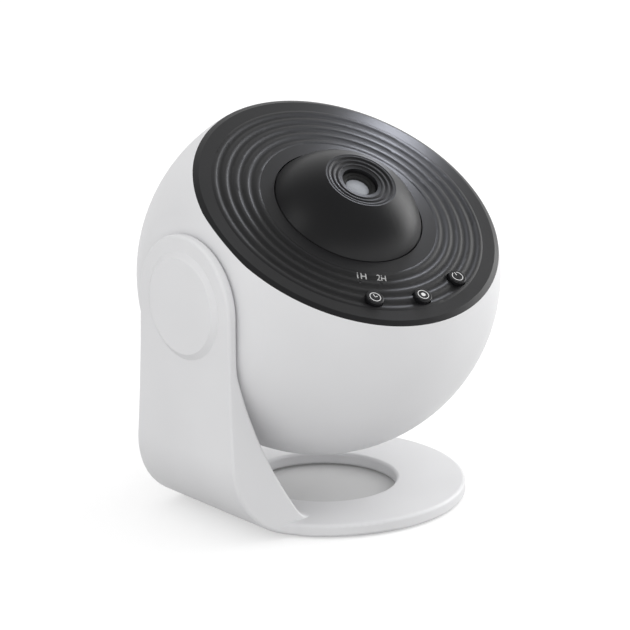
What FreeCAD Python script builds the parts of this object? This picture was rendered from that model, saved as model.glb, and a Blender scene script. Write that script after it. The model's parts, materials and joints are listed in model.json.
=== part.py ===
import FreeCAD, Part
import math
import os
import re
import Sketcher

# Planetarium projector: a ball-shaped head on a one-armed stand.
# Millimetres. The origin lies on the table under the middle of the ball, +Z is up,
# the arm is at -X and the front panel leans towards -Y.
# The head's own pieces are drawn about the middle of the ball with +Z out along the beam,
# and their placement tilts them and lifts them to the pivot.

SIZES = {
    # the ball
    "ball_radius": 67.5,
    "shell_wall": 2.2,
    "mouth_level": 31.75,
    "flat_depth": 8.15,
    "flat_round": 18.0,
    "pivot_height": 86.2,
    "tilt_angle": 30.45,
    "running_gap": 0.05,
    "moving_gap": 0.3,
    "screw_fit": 0.03,
    # the stand
    "arm_gap": 0.4,
    "arm_wall": 4.2,
    "arm_top_radius": 26.1,
    "strip_half_width": 31.6,
    "back_bend": 30.0,
    "gusset_height": 60.4,
    "gusset_lean": 13.5,
    "gusset_bow": 175.0,
    "gusset_bend": 24.0,
    "gusset_relief": 1.0,
    "foot_bend": 8.0,
    "base_radius": 53.3,
    "strip_reach": 23.6276,
    "base_ring_width": 26.1,
    "base_thickness": 5.0,
    "corner_bend": 9.0,
    "edge_round": 1.6,
    "back_round": 1.2,
    "base_round": 1.3,
    "pad_thickness": 1.2,
    "pad_sunk": 0.6,
    "pad_rim_width": 3.8,
    "pad_cut_rim": 2.6,
    # the pivot
    "shaft_radius": 5.0,
    "shaft_flange_radius": 12.0,
    "shaft_flange_depth": 2.5,
    "pivot_pad_radius": 30.0,
    "pivot_pad_depth": 4.5,
    "friction_washer_radius": 15.8,
    "friction_washer_depth": 0.9,
    "hub_pocket_radius": 16.4,
    "hub_pocket_depth": 1.8,
    "spring_washer_depth": 0.5,
    "plate_washer_radius": 12.0,
    "plate_washer_depth": 0.8,
    "pivot_screw_radius": 2.0,
    "pivot_screw_head_radius": 3.6,
    "pivot_screw_head_depth": 0.9,
    "pivot_screw_reach": 7.0,
    "hub_cap_radius": 20.1,
    "hub_cap_top_radius": 17.8,
    "hub_cap_rise": 1.6,
    "hub_cap_roof": 0.9,
    "hub_cap_plug_depth": 1.2,
    "hub_cap_plug_wall": 1.3,
    # the front panel
    "panel_wall": 2.2,
    "panel_edge_step": 0.15,
    "panel_bevel_width": 2.0,
    "panel_bevel_rise": 1.0,
    "panel_rise": 1.0,
    "ripple_inner_margin": 5.375,
    "ripple_outer_margin": 4.79,
    "ripple_rise": 0.45,
    "skirt_depth": 5.75,
    "skirt_wall": 2.0,
    "skirt_gap": 0.15,
    "snap_drop": 2.3,
    "snap_reach": 0.85,
    "snap_slot_width": 32.0,
    "collar_wall": 2.4,
    "collar_depth": 12.0,
    "collar_ledge_depth": 1.0,
    "collar_ledge_reach": 1.8,
    "dome_slit": 0.5,
    # the lens unit
    "dome_radius": 28.3,
    "dome_foot_lift": 2.0,
    "dome_skirt_drop": 1.55,
    "dome_wall": 1.6,
    "dome_bulge": 1.8,
    "crater_rim_radius": 13.6,
    "crater_rim_level": 47.5,
    "crater_hole_radius": 6.9,
    "crater_hole_level": 46.6,
    "crater_ripple_margin": 0.7,
    "crater_ripple_pitch": 1.9,
    "crater_ripple_rise": 0.16,
    "ceiling_level": 42.4,
    "ceiling_radius": 18.0,
    "ceiling_edge_drop": 0.4,
    "ceiling_bulge": 0.8,
    "unit_floor_depth": 1.8,
    "guide_wall": 1.9,
    "guide_top_level": 38.0,
    "sleeve_wall": 1.8,
    "sleeve_flange_depth": 1.2,
    "clip_depth": 0.6,
    "clip_reach": 1.8,
    "clip_gap": 0.2,
    "clip_groove_depth": 0.8,
    "cam_screw_margin": 2.6,
    "cam_screw_hold": 2.2,
    "focus_lead": 12.0,
    "focus_half_turn": 45.0,
    "pin_radius": 1.0,
    "pin_gap": 0.15,
    "pin_level": 30.0,
    "barrel_radius": 11.2,
    "barrel_wall": 1.6,
    "barrel_foot_level": 22.0,
    "barrel_shoulder_level": 38.0,
    "barrel_shoulder_rise": 2.4,
    "barrel_step": 1.2,
    "nose_radius": 6.5,
    "nose_level": 45.0,
    "front_lens_radius": 5.3,
    "front_lens_level": 41.0,
    "front_lens_edge": 2.0,
    "front_lens_bulge": 0.9,
    "lens_window_radius": 4.56,
    "rear_lens_level": 23.0,
    "rear_lens_edge": 2.0,
    "rear_lens_bulge": 3.0,
    "lens_gap": 0.05,
    "lens_ring_gap": 0.03,
    "lens_ring_sunk": 0.3,
    "lens_ring_bevel": 0.6,
    # the star disc and its drive
    "deck_level": 9.4,
    "deck_thickness": 2.2,
    "deck_rim": 2.25,
    "light_hole_radius": 16.0,
    "bearing_radius": 21.4,
    "bearing_wall": 1.4,
    "bearing_height": 3.0,
    "gear_module": 0.8,
    "gear_teeth": 62,
    "gear_height": 6.4,
    "gear_gap": 0.15,
    "pinion_teeth": 12,
    "pinion_height": 4.4,
    "pinion_lift": 0.4,
    "mesh_gap": 0.15,
    "disc_radius": 20.0,
    "disc_thickness": 1.8,
    "disc_window_radius": 15.0,
    "disc_floor": 1.0,
    "disc_sunk": 0.4,
    "gear_window_margin": 0.5,
    "film_radius": 17.0,
    "film_thickness": 0.3,
    "film_ledge": 0.6,
    "hook_reach": 1.2,
    "hook_wall": 2.0,
    "hook_width": 6.0,
    "hook_height": 1.0,
    "hook_gap": 0.6,
    "hook_clearance": 0.2,
    "post_inset": 4.0,
    "post_radius": 3.2,
    "post_top_level": 24.0,
    "motor_radius": 10.0,
    "motor_height": 14.0,
    "motor_boss_radius": 3.6,
    "motor_boss_height": 1.8,
    "motor_ear_reach": 12.9,
    "motor_ear_radius": 3.5,
    "motor_ear_depth": 0.8,
    "motor_shaft_radius": 1.5,
    "shaft_socket_foot": 8.0,
    # the lamp
    "lamp_bore_radius": 15.2,
    "lamp_wall": 1.8,
    "lamp_flange_radius": 19.2,
    "lamp_flange_depth": 1.8,
    "lamp_ear_orbit": 20.5,
    "lamp_ear_radius": 3.0,
    "lamp_cone_radius": 13.5,
    "condenser_level": -1.0,
    "condenser_radius": 15.0,
    "condenser_edge": 1.5,
    "condenser_bulge": 6.0,
    "condenser_ring_depth": 1.0,
    "sink_level": -10.0,
    "sink_half_width": 17.0,
    "sink_height": 18.0,
    "sink_floor": 4.0,
    "fin_pitch": 3.2,
    "fin_gap": 1.6,
    "sink_screw_reach": 14.5,
    "led_board_radius": 9.8,
    "led_board_thickness": 1.6,
    "led_radius": 2.6,
    "led_foot": 0.8,
    "led_height": 2.5,
    # the boards, the switches and the buttons
    "button_inset": 11.667,
    "button_spread": 24.3,
    "button_radius": 3.4,
    "button_gap": 0.25,
    "button_stand": 2.95,
    "button_flange_radius": 4.5,
    "button_flange_depth": 1.2,
    "button_round": 0.4,
    "switch_half_width": 3.0,
    "switch_height": 2.4,
    "switch_floor": 0.3,
    "press_travel": 0.6,
    "plunger_radius": 1.65,
    "plunger_stand": 1.0,
    "button_board_level": 23.0,
    "board_thickness": 1.2,
    "button_board_outer_reach": 5.1,
    "button_board_inner_reach": 6.4,
    "button_board_half_angle": 36.0,
    "indicator_radius": 0.5,
    "indicator_length": 1.6,
    "indicator_width": 0.8,
    "indicator_height": 0.6,
    "first_indicator_right": 0.1,
    "first_indicator_up": 9.14,
    "second_indicator_right": 7.8,
    "second_indicator_up": 6.08,
    "board_tab_reach": 3.5,
    "board_tab_depth": 2.4,
    "main_board_level": -46.0,
    "main_board_half_length": 20.0,
    "main_board_half_width": 13.0,
    "main_board_boss_across": 17.0,
    "main_board_boss_along": 10.0,
    "boss_radius": 2.6,
    "boss_skin": 0.3,
    "chip_length": 9.0,
    "chip_height": 1.2,
    "chip_across": 1.0,
    "plug_length": 7.0,
    "switch_plug_length": 10.0,
    "plug_depth": 5.0,
    "plug_across": 6.0,
    "plug_along": 9.5,
    "capacitor_radius": 3.15,
    "capacitor_height": 7.0,
    "capacitor_across": -9.0,
    "choke_radius": 3.5,
    "choke_height": 4.0,
    "choke_across": 11.0,
    "port_width": 8.94,
    "port_height": 3.2,
    "port_length": 7.3,
    "port_wall": 0.3,
    "port_back_wall": 1.0,
    "port_inset": 1.3,
    "port_recess_depth": 1.2,
    "port_recess_margin": 2.0,
    "tongue_half_width": 3.35,
    "tongue_half_height": 0.35,
    "tongue_length": 5.0,
    "port_board_length": 12.7,
    "port_board_half_width": 10.5,
    "port_board_setback": 3.0,
    "rail_length": 15.6,
    "rail_inset": 1.9,
    "rail_lip": 1.3,
    "rail_back": 1.9,
    "rail_height": 2.1,
    # the screws
    "screw_radius": 1.1,
    "screw_head_radius": 2.1,
    "screw_head_height": 1.3,
    "screw_tip_room": 1.0,
    "pilot_floor": 0.5,
    "flange_margin": 0.6,
    "board_screw_hold": 6.0,
    "button_screw_hold": 4.5,
    "deck_screw_hold": 6.0,
}
# sizes that follow from others
DERIVED = {
    "mouth_radius": "sqrt(ball_radius^2 - mouth_level^2)",
    "bevel_radius": "mouth_radius - panel_edge_step - panel_bevel_width",
    "panel_hole_radius": "dome_radius + dome_slit",
    "side_flat": "ball_radius - flat_depth",
    "arm_inner": "side_flat + arm_gap",
    "arm_outer": "arm_inner + arm_wall",
    "base_corner_reach": "arm_outer - strip_reach",
    "base_shift": "sqrt(base_radius^2 - strip_half_width^2) - base_corner_reach",
    "base_hole_radius": "base_radius - base_ring_width",
    "pad_outer_radius": "base_radius - pad_rim_width",
    "pad_inner_radius": "base_hole_radius + pad_rim_width",
    "pad_cut_reach": "pad_inner_radius + pad_cut_rim - base_shift",
    "gear_pitch_radius": "gear_module * gear_teeth / 2",
    "pinion_pitch_radius": "gear_module * pinion_teeth / 2",
    "drive_reach": "gear_pitch_radius + pinion_pitch_radius + mesh_gap",
    "deck_radius": "drive_reach + motor_radius + deck_rim",
    "post_orbit": "deck_radius - post_inset",
    "button_orbit": "mouth_radius - button_inset",
    "button_board_radius": "button_orbit + button_board_outer_reach",
    "button_board_inner_radius": "button_orbit - button_board_inner_reach",
    "first_indicator_across": "first_indicator_right - button_orbit * sin(button_spread)",
    "first_indicator_along": "first_indicator_up - button_orbit * cos(button_spread)",
    "second_indicator_across": "second_indicator_right - button_orbit * sin(button_spread)",
    "second_indicator_along": "second_indicator_up - button_orbit * cos(button_spread)",
    "port_face": "ball_radius - port_inset",
    "port_recess_floor": "ball_radius - port_recess_depth",
    "rail_end": "ball_radius - rail_inset",
    "rail_start": "rail_end - rail_length",
}
# counts
ripple_count = 5
crater_ripple_count = 3
snap_count = 6
fin_slots = 7
pin_count = 3
# how far a cutter runs past what it cuts, and how close two places count as one
overrun = 1.0
near = 0.01

doc = FreeCAD.newDocument("planetarium_projector")
sheet = doc.addObject("Spreadsheet::Sheet", "Sizes")
for row, (size_name, number) in enumerate(SIZES.items(), start=1):
    sheet.set("A" + str(row), size_name)
    sheet.set("B" + str(row), str(number))
    sheet.setAlias("B" + str(row), size_name)
doc.recompute()

pieces = []


def formula(text):
    # Writes out each derived size, and puts the sheet's name before each size in the sheet.
    def full_name(match):
        word = match.group()
        if word in DERIVED:
            return "(" + formula(DERIVED[word]) + ")"
        return "Sizes." + word if word in SIZES else word

    return re.sub(r"[A-Za-z_]\w*", full_name, text)


def value(text):
    return float(sheet.evalExpression(formula(text)))


def bind(feature, prop, text):
    feature.setExpression(prop, formula(text))


def place_level(piece):
    # For pieces drawn about the ball's middle that don't tilt, or that are level at rest.
    bind(piece, "Placement.Base.z", "pivot_height")


def place_on_head(piece, across="0", along="0"):
    # (across, along) is the piece's own spot on the head, square to the beam.
    piece.Placement = FreeCAD.Placement(
        FreeCAD.Vector(0, 0, 0), FreeCAD.Rotation(FreeCAD.Vector(1, 0, 0), value("tilt_angle")))
    bind(piece, "Placement.Base.x", across)
    bind(piece, "Placement.Base.y", f"({along}) * cos(tilt_angle)")
    bind(piece, "Placement.Base.z", f"pivot_height + ({along}) * sin(tilt_angle)")
    bind(piece, "Placement.Rotation.Angle", "tilt_angle")


def new_body(label):
    body = doc.addObject("PartDesign::Body", label)
    body.Label = label
    pieces.append(body)
    return body


def origin_of(body, role):
    for feature in body.Origin.OriginFeatures:
        if feature.Role == role:
            return feature
    raise ValueError(role)


def new_sketch(body, name, plane="XZ_Plane", offset=None):
    sketch = body.newObject("Sketcher::SketchObject", name)
    sketch.AttachmentSupport = [(origin_of(body, plane), "")]
    sketch.MapMode = "FlatFace"
    if offset is not None:
        bind(sketch, "AttachmentOffset.Base.z", offset)
    return sketch


def pin_point(sketch, geometry, end, across, up):
    for kind, text in (("DistanceX", across), ("DistanceY", up)):
        spot = Sketcher.Constraint(kind, -1, 1, geometry, end, value(text))
        index = sketch.addConstraint(spot)
        sketch.setExpression(f"Constraints[{index}]", formula(text))


def outline(sketch, corners):
    # Draws a closed outline. A corner is (across, up). A point marked "via" between
    # two corners makes the edge between them an arc through it.
    spots = [FreeCAD.Vector(value(corner[0]), value(corner[1]), 0) for corner in corners]
    turns = [index for index, corner in enumerate(corners) if len(corner) == 2]
    edges = []
    for count, start in enumerate(turns):
        stop = turns[(count + 1) % len(turns)]
        middle = (start + 1) % len(corners)
        first, last = spots[start], spots[stop]
        if middle == stop:
            line = sketch.addGeometry(Part.LineSegment(first, last), False)
            edges.append((line, 1, 2, start))
            continue
        through = spots[middle]
        leftward = (through - first).cross(last - through).z > 0
        ends = (first, last) if leftward else (last, first)
        arc = sketch.addGeometry(Part.ArcOfCircle(ends[0], through, ends[1]), False)
        edges.append((arc, 1, 2, start) if leftward else (arc, 2, 1, start))
        helper = sketch.addGeometry(Part.Point(through), True)
        pin_point(sketch, helper, 1, corners[middle][0], corners[middle][1])
        sketch.addConstraint(Sketcher.Constraint("PointOnObject", helper, 1, arc))
    for count, (edge, begin, end, start) in enumerate(edges):
        following = edges[(count + 1) % len(edges)]
        sketch.addConstraint(Sketcher.Constraint("Coincident", edge, end, following[0], following[1]))
        pin_point(sketch, edge, begin, corners[start][0], corners[start][1])


def circle(sketch, radius, across="0", up="0"):
    middle = FreeCAD.Vector(value(across), value(up), 0)
    ring = sketch.addGeometry(Part.Circle(middle, FreeCAD.Vector(0, 0, 1), value(radius)), False)
    pin_point(sketch, ring, 3, across, up)
    index = sketch.addConstraint(Sketcher.Constraint("Radius", ring, value(radius)))
    sketch.setExpression(f"Constraints[{index}]", formula(radius))


def rectangle(sketch, left, right, bottom, top):
    outline(sketch, [(left, bottom), (right, bottom), (right, top), (left, top)])


def stadium(sketch, width, height, across="0", up="0"):
    half = f"(({width}) / 2)"
    end = f"(({height}) / 2)"
    straight = f"({half} - {end})"
    outline(sketch, [
        (f"{across} - {straight}", f"{up} - {end}"),
        (f"{across} + {straight}", f"{up} - {end}"),
        (f"{across} + {half}", up, "via"),
        (f"{across} + {straight}", f"{up} + {end}"),
        (f"{across} - {straight}", f"{up} + {end}"),
        (f"{across} - {half}", up, "via"),
    ])


def pad(body, sketch, length, backwards=False):
    feature = body.newObject("PartDesign::Pad", sketch.Name + "_pad")
    feature.Profile = sketch
    bind(feature, "Length", length)
    feature.Reversed = backwards
    return feature


def pocket(body, sketch, length, backwards=False):
    feature = body.newObject("PartDesign::Pocket", sketch.Name + "_pocket")
    feature.Profile = sketch
    bind(feature, "Length", length)
    feature.Reversed = backwards
    return feature


def revolve(body, sketch, axis="V_Axis"):
    feature = body.newObject("PartDesign::Revolution", sketch.Name + "_turn")
    feature.Profile = sketch
    feature.ReferenceAxis = (sketch, [axis])
    feature.Angle = 360
    return feature


def groove(body, sketch, axis="V_Axis"):
    feature = body.newObject("PartDesign::Groove", sketch.Name + "_groove")
    feature.Profile = sketch
    feature.ReferenceAxis = (sketch, [axis])
    feature.Angle = 360
    doc.recompute()
    return feature


def repeat_round(body, feature, count, axis="Z_Axis"):
    pattern = body.newObject("PartDesign::PolarPattern", feature.Name + "_ring")
    pattern.Originals = [feature]
    pattern.Axis = (origin_of(body, axis), [""])
    pattern.Angle = 360
    pattern.Occurrences = count
    body.Tip = pattern
    return pattern


def turned(label, corners, axis="V_Axis"):
    # A turned piece: its half outline is drawn as (radius, level), or as
    # (place on X, radius) for a piece turned about the pivot's line.
    body = new_body(label)
    sketch = new_sketch(body, label + "_outline")
    outline(sketch, corners)
    revolve(body, sketch, axis)
    return body


def drill(body, name, level, depth, radius, spots, upwards=False, plane="XY_Plane"):
    sketch = new_sketch(body, name, plane, level)
    for across, along in spots:
        circle(sketch, radius, across, along)
    return pocket(body, sketch, depth, upwards)


def corner_spots(across, along):
    return [(f"{side} * ({across})", f"{end} * ({along})") for side in (-1, 1) for end in (-1, 1)]


def ring_spots(orbit, count, first_angle=0.0):
    spots = []
    for step in range(count):
        angle = first_angle + 360.0 * step / count
        spots.append((f"({orbit}) * cos({angle})", f"({orbit}) * sin({angle})"))
    return spots


def group(label, solids):
    compound = doc.addObject("Part::Compound", label)
    compound.Label = label
    compound.Links = solids
    pieces.append(compound)
    return compound


def rod(name, radius, length, across, along, level):
    cylinder = doc.addObject("Part::Cylinder", name)
    bind(cylinder, "Radius", radius)
    bind(cylinder, "Height", length)
    bind(cylinder, "Placement.Base.x", across)
    bind(cylinder, "Placement.Base.y", along)
    bind(cylinder, "Placement.Base.z", level)
    return cylinder


def block(name, length, width, height, across, along, level):
    # (across, along) is the middle of the block's foot.
    box = doc.addObject("Part::Box", name)
    bind(box, "Length", length)
    bind(box, "Width", width)
    bind(box, "Height", height)
    bind(box, "Placement.Base.x", f"{across} - ({length}) / 2")
    bind(box, "Placement.Base.y", f"{along} - ({width}) / 2")
    bind(box, "Placement.Base.z", level)
    return box


def screws(label, spots, seat, reach, upwards=True, shank="screw_radius"):
    # Pan-head screws along the beam's line. The head bears on the seat level.
    solids = []
    for number, (across, along) in enumerate(spots, start=1):
        head_foot = f"({seat}) - screw_head_height" if upwards else seat
        shank_foot = seat if upwards else f"({seat}) - ({reach})"
        name = label + "_" + str(number)
        screw = doc.addObject("Part::Fuse", name)
        screw.Base = rod(name + "_head", "screw_head_radius", "screw_head_height",
                         across, along, head_foot)
        screw.Tool = rod(name + "_shank", shank, reach, across, along, shank_foot)
        solids.append(screw)
    return group(label, solids)


# ---------------------------------------------------------------- shared places
inner_ball = "(ball_radius - shell_wall)"
mouth_bore = f"sqrt({inner_ball}^2 - mouth_level^2)"
base_underside = "pad_sunk"
base_top = "(pad_sunk + base_thickness)"
panel_edge_radius = "(mouth_radius - panel_edge_step)"
bevel_level = "(mouth_level + panel_bevel_rise)"
dome_foot_level = "(mouth_level + dome_foot_lift)"
collar_bore = "(dome_radius + 2 * running_gap)"
collar_foot = "(mouth_level - collar_depth)"
unit_floor = f"({collar_foot} + collar_ledge_depth)"
dome_skirt_foot = f"({dome_foot_level} - dome_skirt_drop)"
sleeve_bore = "(barrel_radius + moving_gap)"
sleeve_radius = f"({sleeve_bore} + sleeve_wall)"
guide_bore = f"({sleeve_radius} + moving_gap)"
guide_radius = f"({guide_bore} + guide_wall)"
deck_top = "(deck_level + deck_thickness)"
gear_foot = f"({deck_top} + gear_gap)"
gear_top = f"({gear_foot} + gear_height)"
disc_seat = f"({gear_top} - disc_thickness - disc_sunk)"
gear_tip_radius = "(gear_pitch_radius + gear_module)"
motor_top = "deck_level"
lamp_radius = "(lamp_bore_radius + lamp_wall)"
led_board_top = "(sink_level + led_board_thickness)"
button_board_top = "(button_board_level + board_thickness)"
switch_top = f"({button_board_top} + switch_height)"
plunger_top = f"({switch_top} + plunger_stand)"
port_board_top = "(0 - port_height / 2)"
port_board_foot = f"({port_board_top} - board_thickness)"


def panel_top_at(radius):
    # The panel's top rises gently from the bevel to the slit round the dome.
    share = f"((bevel_radius - ({radius})) / (bevel_radius - panel_hole_radius))"
    return f"({bevel_level} + panel_rise * {share})"


# ---------------------------------------------------------------- the stand
def edges_where(shape, wanted):
    return ["Edge" + str(number) for number, edge in enumerate(shape.Edges, start=1) if wanted(edge)]


def round_edges(body, name, radius, wanted):
    doc.recompute()
    tip = body.Tip
    rounds = body.newObject("PartDesign::Fillet", name)
    rounds.Base = (tip, edges_where(tip.Shape, wanted))
    bind(rounds, "Radius", radius)
    return rounds


def add_stand_bracket():
    body = new_body("stand_bracket")
    arm_reach = f"(strip_half_width + {overrun})"
    base_reach = f"(base_radius + {overrun})"
    # the inner side below the pivot is a long bow that leans more and more towards the base,
    # with a bend into the arm above it and one into the base below it
    bow_across = "(gusset_bow * cos(gusset_lean * 1 deg) - arm_inner)"
    bow_level = f"({base_top} + gusset_height + gusset_bow * sin(gusset_lean * 1 deg))"
    top_across = "(gusset_bend - arm_inner)"
    top_turn = f"acos(({bow_across} - {top_across}) / (gusset_bow - gusset_bend))"
    top_level = f"({bow_level} - (gusset_bow - gusset_bend) * sin({top_turn}))"
    foot_level = f"({base_top} + foot_bend)"
    foot_turn = f"asin(({bow_level} - {foot_level}) / (gusset_bow - foot_bend))"
    foot_across = f"({bow_across} - (gusset_bow - foot_bend) * cos({foot_turn}))"
    # the arm's own strip ends a little way in over the round base
    strip_end = f"({foot_across} + foot_bend)"
    # the front outline: a rounded top about the pivot and sides that spread to the base
    front = new_sketch(body, "arm_front", "YZ_Plane", f"0 - arm_outer")
    spread = "(arm_top_radius + (strip_half_width - arm_top_radius) / 4)"
    half_down = f"((pivot_height + {base_underside}) / 2)"
    outline(front, [
        ("0 - arm_top_radius", "pivot_height"),
        (f"0 - {spread}", half_down, "via"),
        ("0 - strip_half_width", base_underside),
        ("strip_half_width", base_underside),
        (spread, half_down, "via"),
        ("arm_top_radius", "pivot_height"),
        ("0", "pivot_height + arm_top_radius", "via"),
    ])
    pad(body, front, f"arm_outer + {strip_end}")
    far_right = f"({strip_end} + {overrun})"
    far_top = f"(pivot_height + arm_top_radius + {overrun})"

    def on_circle(across, level, radius, turn):
        # a point of a circle, turned down from the arm's side of its middle
        return f"{across} - {radius} * cos({turn})", f"{level} - {radius} * sin({turn})"

    inside = new_sketch(body, "arm_inside", "XZ_Plane", f"0 - {arm_reach}")
    outline(inside, [
        ("0 - arm_inner", far_top),
        ("0 - arm_inner", top_level),
        (*on_circle(top_across, top_level, "gusset_bend", f"{top_turn} / 2"), "via"),
        on_circle(bow_across, bow_level, "gusset_bow", top_turn),
        (*on_circle(bow_across, bow_level, "gusset_bow", f"({top_turn} + {foot_turn}) / 2"), "via"),
        on_circle(bow_across, bow_level, "gusset_bow", foot_turn),
        (*on_circle(foot_across, foot_level, "foot_bend", f"(90 deg + {foot_turn}) / 2"), "via"),
        (foot_across, base_top),
        (far_right, base_top),
        (far_right, far_top),
    ])
    pocket(body, inside, f"2 * {arm_reach}", True)

    def is_inner_rim(edge):
        # the edges between the arm's inner side and its narrow sides
        middle = edge.valueAt((edge.FirstParameter + edge.LastParameter) / 2)
        along = edge.tangentAt((edge.FirstParameter + edge.LastParameter) / 2)
        outside = abs(middle.x + value("arm_outer")) < near
        across_arm = abs(along.y) > 1 - near and abs(middle.y) < near and middle.z < value("pivot_height")
        through_arm = abs(along.x) > 1 - near and middle.z > value(base_top) + near
        underneath = middle.z < value(base_top) - near
        return not (outside or across_arm or through_arm or underneath)

    round_edges(body, "inner_rounds", "edge_round", is_inner_rim)
    # the ball turns in a round hollow in the gusset
    relief = new_sketch(body, "ball_relief")
    bind(relief, "AttachmentOffset.Base.y", "pivot_height")
    relief_radius = "(ball_radius + gusset_relief)"
    outline(relief, [
        ("0 - arm_inner", "0"),
        ("0 - arm_inner", f"sqrt({relief_radius}^2 - arm_inner^2)"),
        (f"0 - {relief_radius} * cos(60)", f"{relief_radius} * sin(60)", "via"),
        ("0", relief_radius),
        ("0", "0"),
    ])
    groove(body, relief, "H_Axis")
    # the round base
    disc = new_sketch(body, "base_disc", "XY_Plane", base_underside)
    circle(disc, "base_radius", "base_shift")
    pad(body, disc, "base_thickness")
    def is_strip_corner(edge):
        middle = edge.CenterOfMass
        upright = abs(edge.tangentAt(edge.FirstParameter).z) > 0.98
        low = middle.z < value(base_top)
        return upright and low and abs(abs(middle.y) - value("strip_half_width")) < 1.0

    round_edges(body, "corner_bends", "corner_bend", is_strip_corner)

    def is_base_rim(edge):
        middle = edge.valueAt((edge.FirstParameter + edge.LastParameter) / 2)
        from_middle = math.hypot(middle.x - value("base_shift"), middle.y)
        at_rim = abs(from_middle - value("base_radius")) < near
        return at_rim and abs(middle.z - value(base_top)) < near

    round_edges(body, "base_rounds", "base_round", is_base_rim)
    # the large bend from the arm's back into the underside
    bend_middle = f"(back_bend - arm_outer)"
    bend_level = f"({base_underside} + back_bend)"
    back = new_sketch(body, "back_bend", "XZ_Plane", f"0 - {base_reach}")
    outline(back, [
        (f"0 - arm_outer", bend_level),
        (f"{bend_middle} - back_bend * cos(45)", f"{bend_level} - back_bend * sin(45)", "via"),
        (bend_middle, base_underside),
        (f"0 - arm_outer", base_underside),
    ])
    pocket(body, back, f"2 * {base_reach}", True)
    drill(body, "base_hole", base_top, "base_thickness", "base_hole_radius", [("base_shift", "0")])

    def is_back_rim(edge):
        middle = edge.valueAt((edge.FirstParameter + edge.LastParameter) / 2)
        at_back = abs(middle.x + value("arm_outer")) < near
        return at_back and (abs(middle.y) > near or middle.z > value("pivot_height"))

    def is_hole_rim(edge):
        middle = edge.valueAt((edge.FirstParameter + edge.LastParameter) / 2)
        along = edge.tangentAt((edge.FirstParameter + edge.LastParameter) / 2)
        from_middle = math.hypot(middle.x - value("base_shift"), middle.y)
        return abs(from_middle - value("base_hole_radius")) < near and abs(along.z) < near

    round_edges(body, "hole_rounds", "base_round", is_hole_rim)
    round_edges(body, "back_rounds", "back_round", is_back_rim)
    return body


def pad_outline(sketch, spare):
    # The anti-slip pad: a ring, cut straight where the underside bends up to the arm.
    radius = f"(pad_outer_radius + {spare})"
    cut = f"(0 - pad_cut_reach - {spare})"
    half = f"sqrt({radius}^2 - ({cut} - base_shift)^2)"
    outline(sketch, [
        (cut, f"0 - {half}"),
        (f"base_shift + {radius}", "0", "via"),
        (cut, half),
    ])
    circle(sketch, f"pad_inner_radius - {spare}", "base_shift")


def add_pivot_seats(body):
    # the bore for the shaft, the seat of the friction washer and the pocket of the hub cap
    at_pivot = [("0", "pivot_height")]
    drill(body, "shaft_bore", f"0 - arm_outer", "arm_wall", shaft_bore, at_pivot, True, "YZ_Plane")
    drill(body, "friction_seat", f"0 - arm_inner", friction_seat_depth,
          "friction_washer_radius + running_gap", at_pivot, False, "YZ_Plane")
    drill(body, "hub_pocket", f"0 - arm_outer", "hub_pocket_depth", "hub_pocket_radius",
          at_pivot, True, "YZ_Plane")
    seat = new_sketch(body, "pad_seat", "XY_Plane", base_underside)
    pad_outline(seat, "running_gap")
    pocket(body, seat, "pad_thickness - pad_sunk", True)


def add_base_pad():
    body = new_body("base_pad")
    ring = new_sketch(body, "base_pad_outline", "XY_Plane")
    pad_outline(ring, "0")
    pad(body, ring, "pad_thickness")


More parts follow.
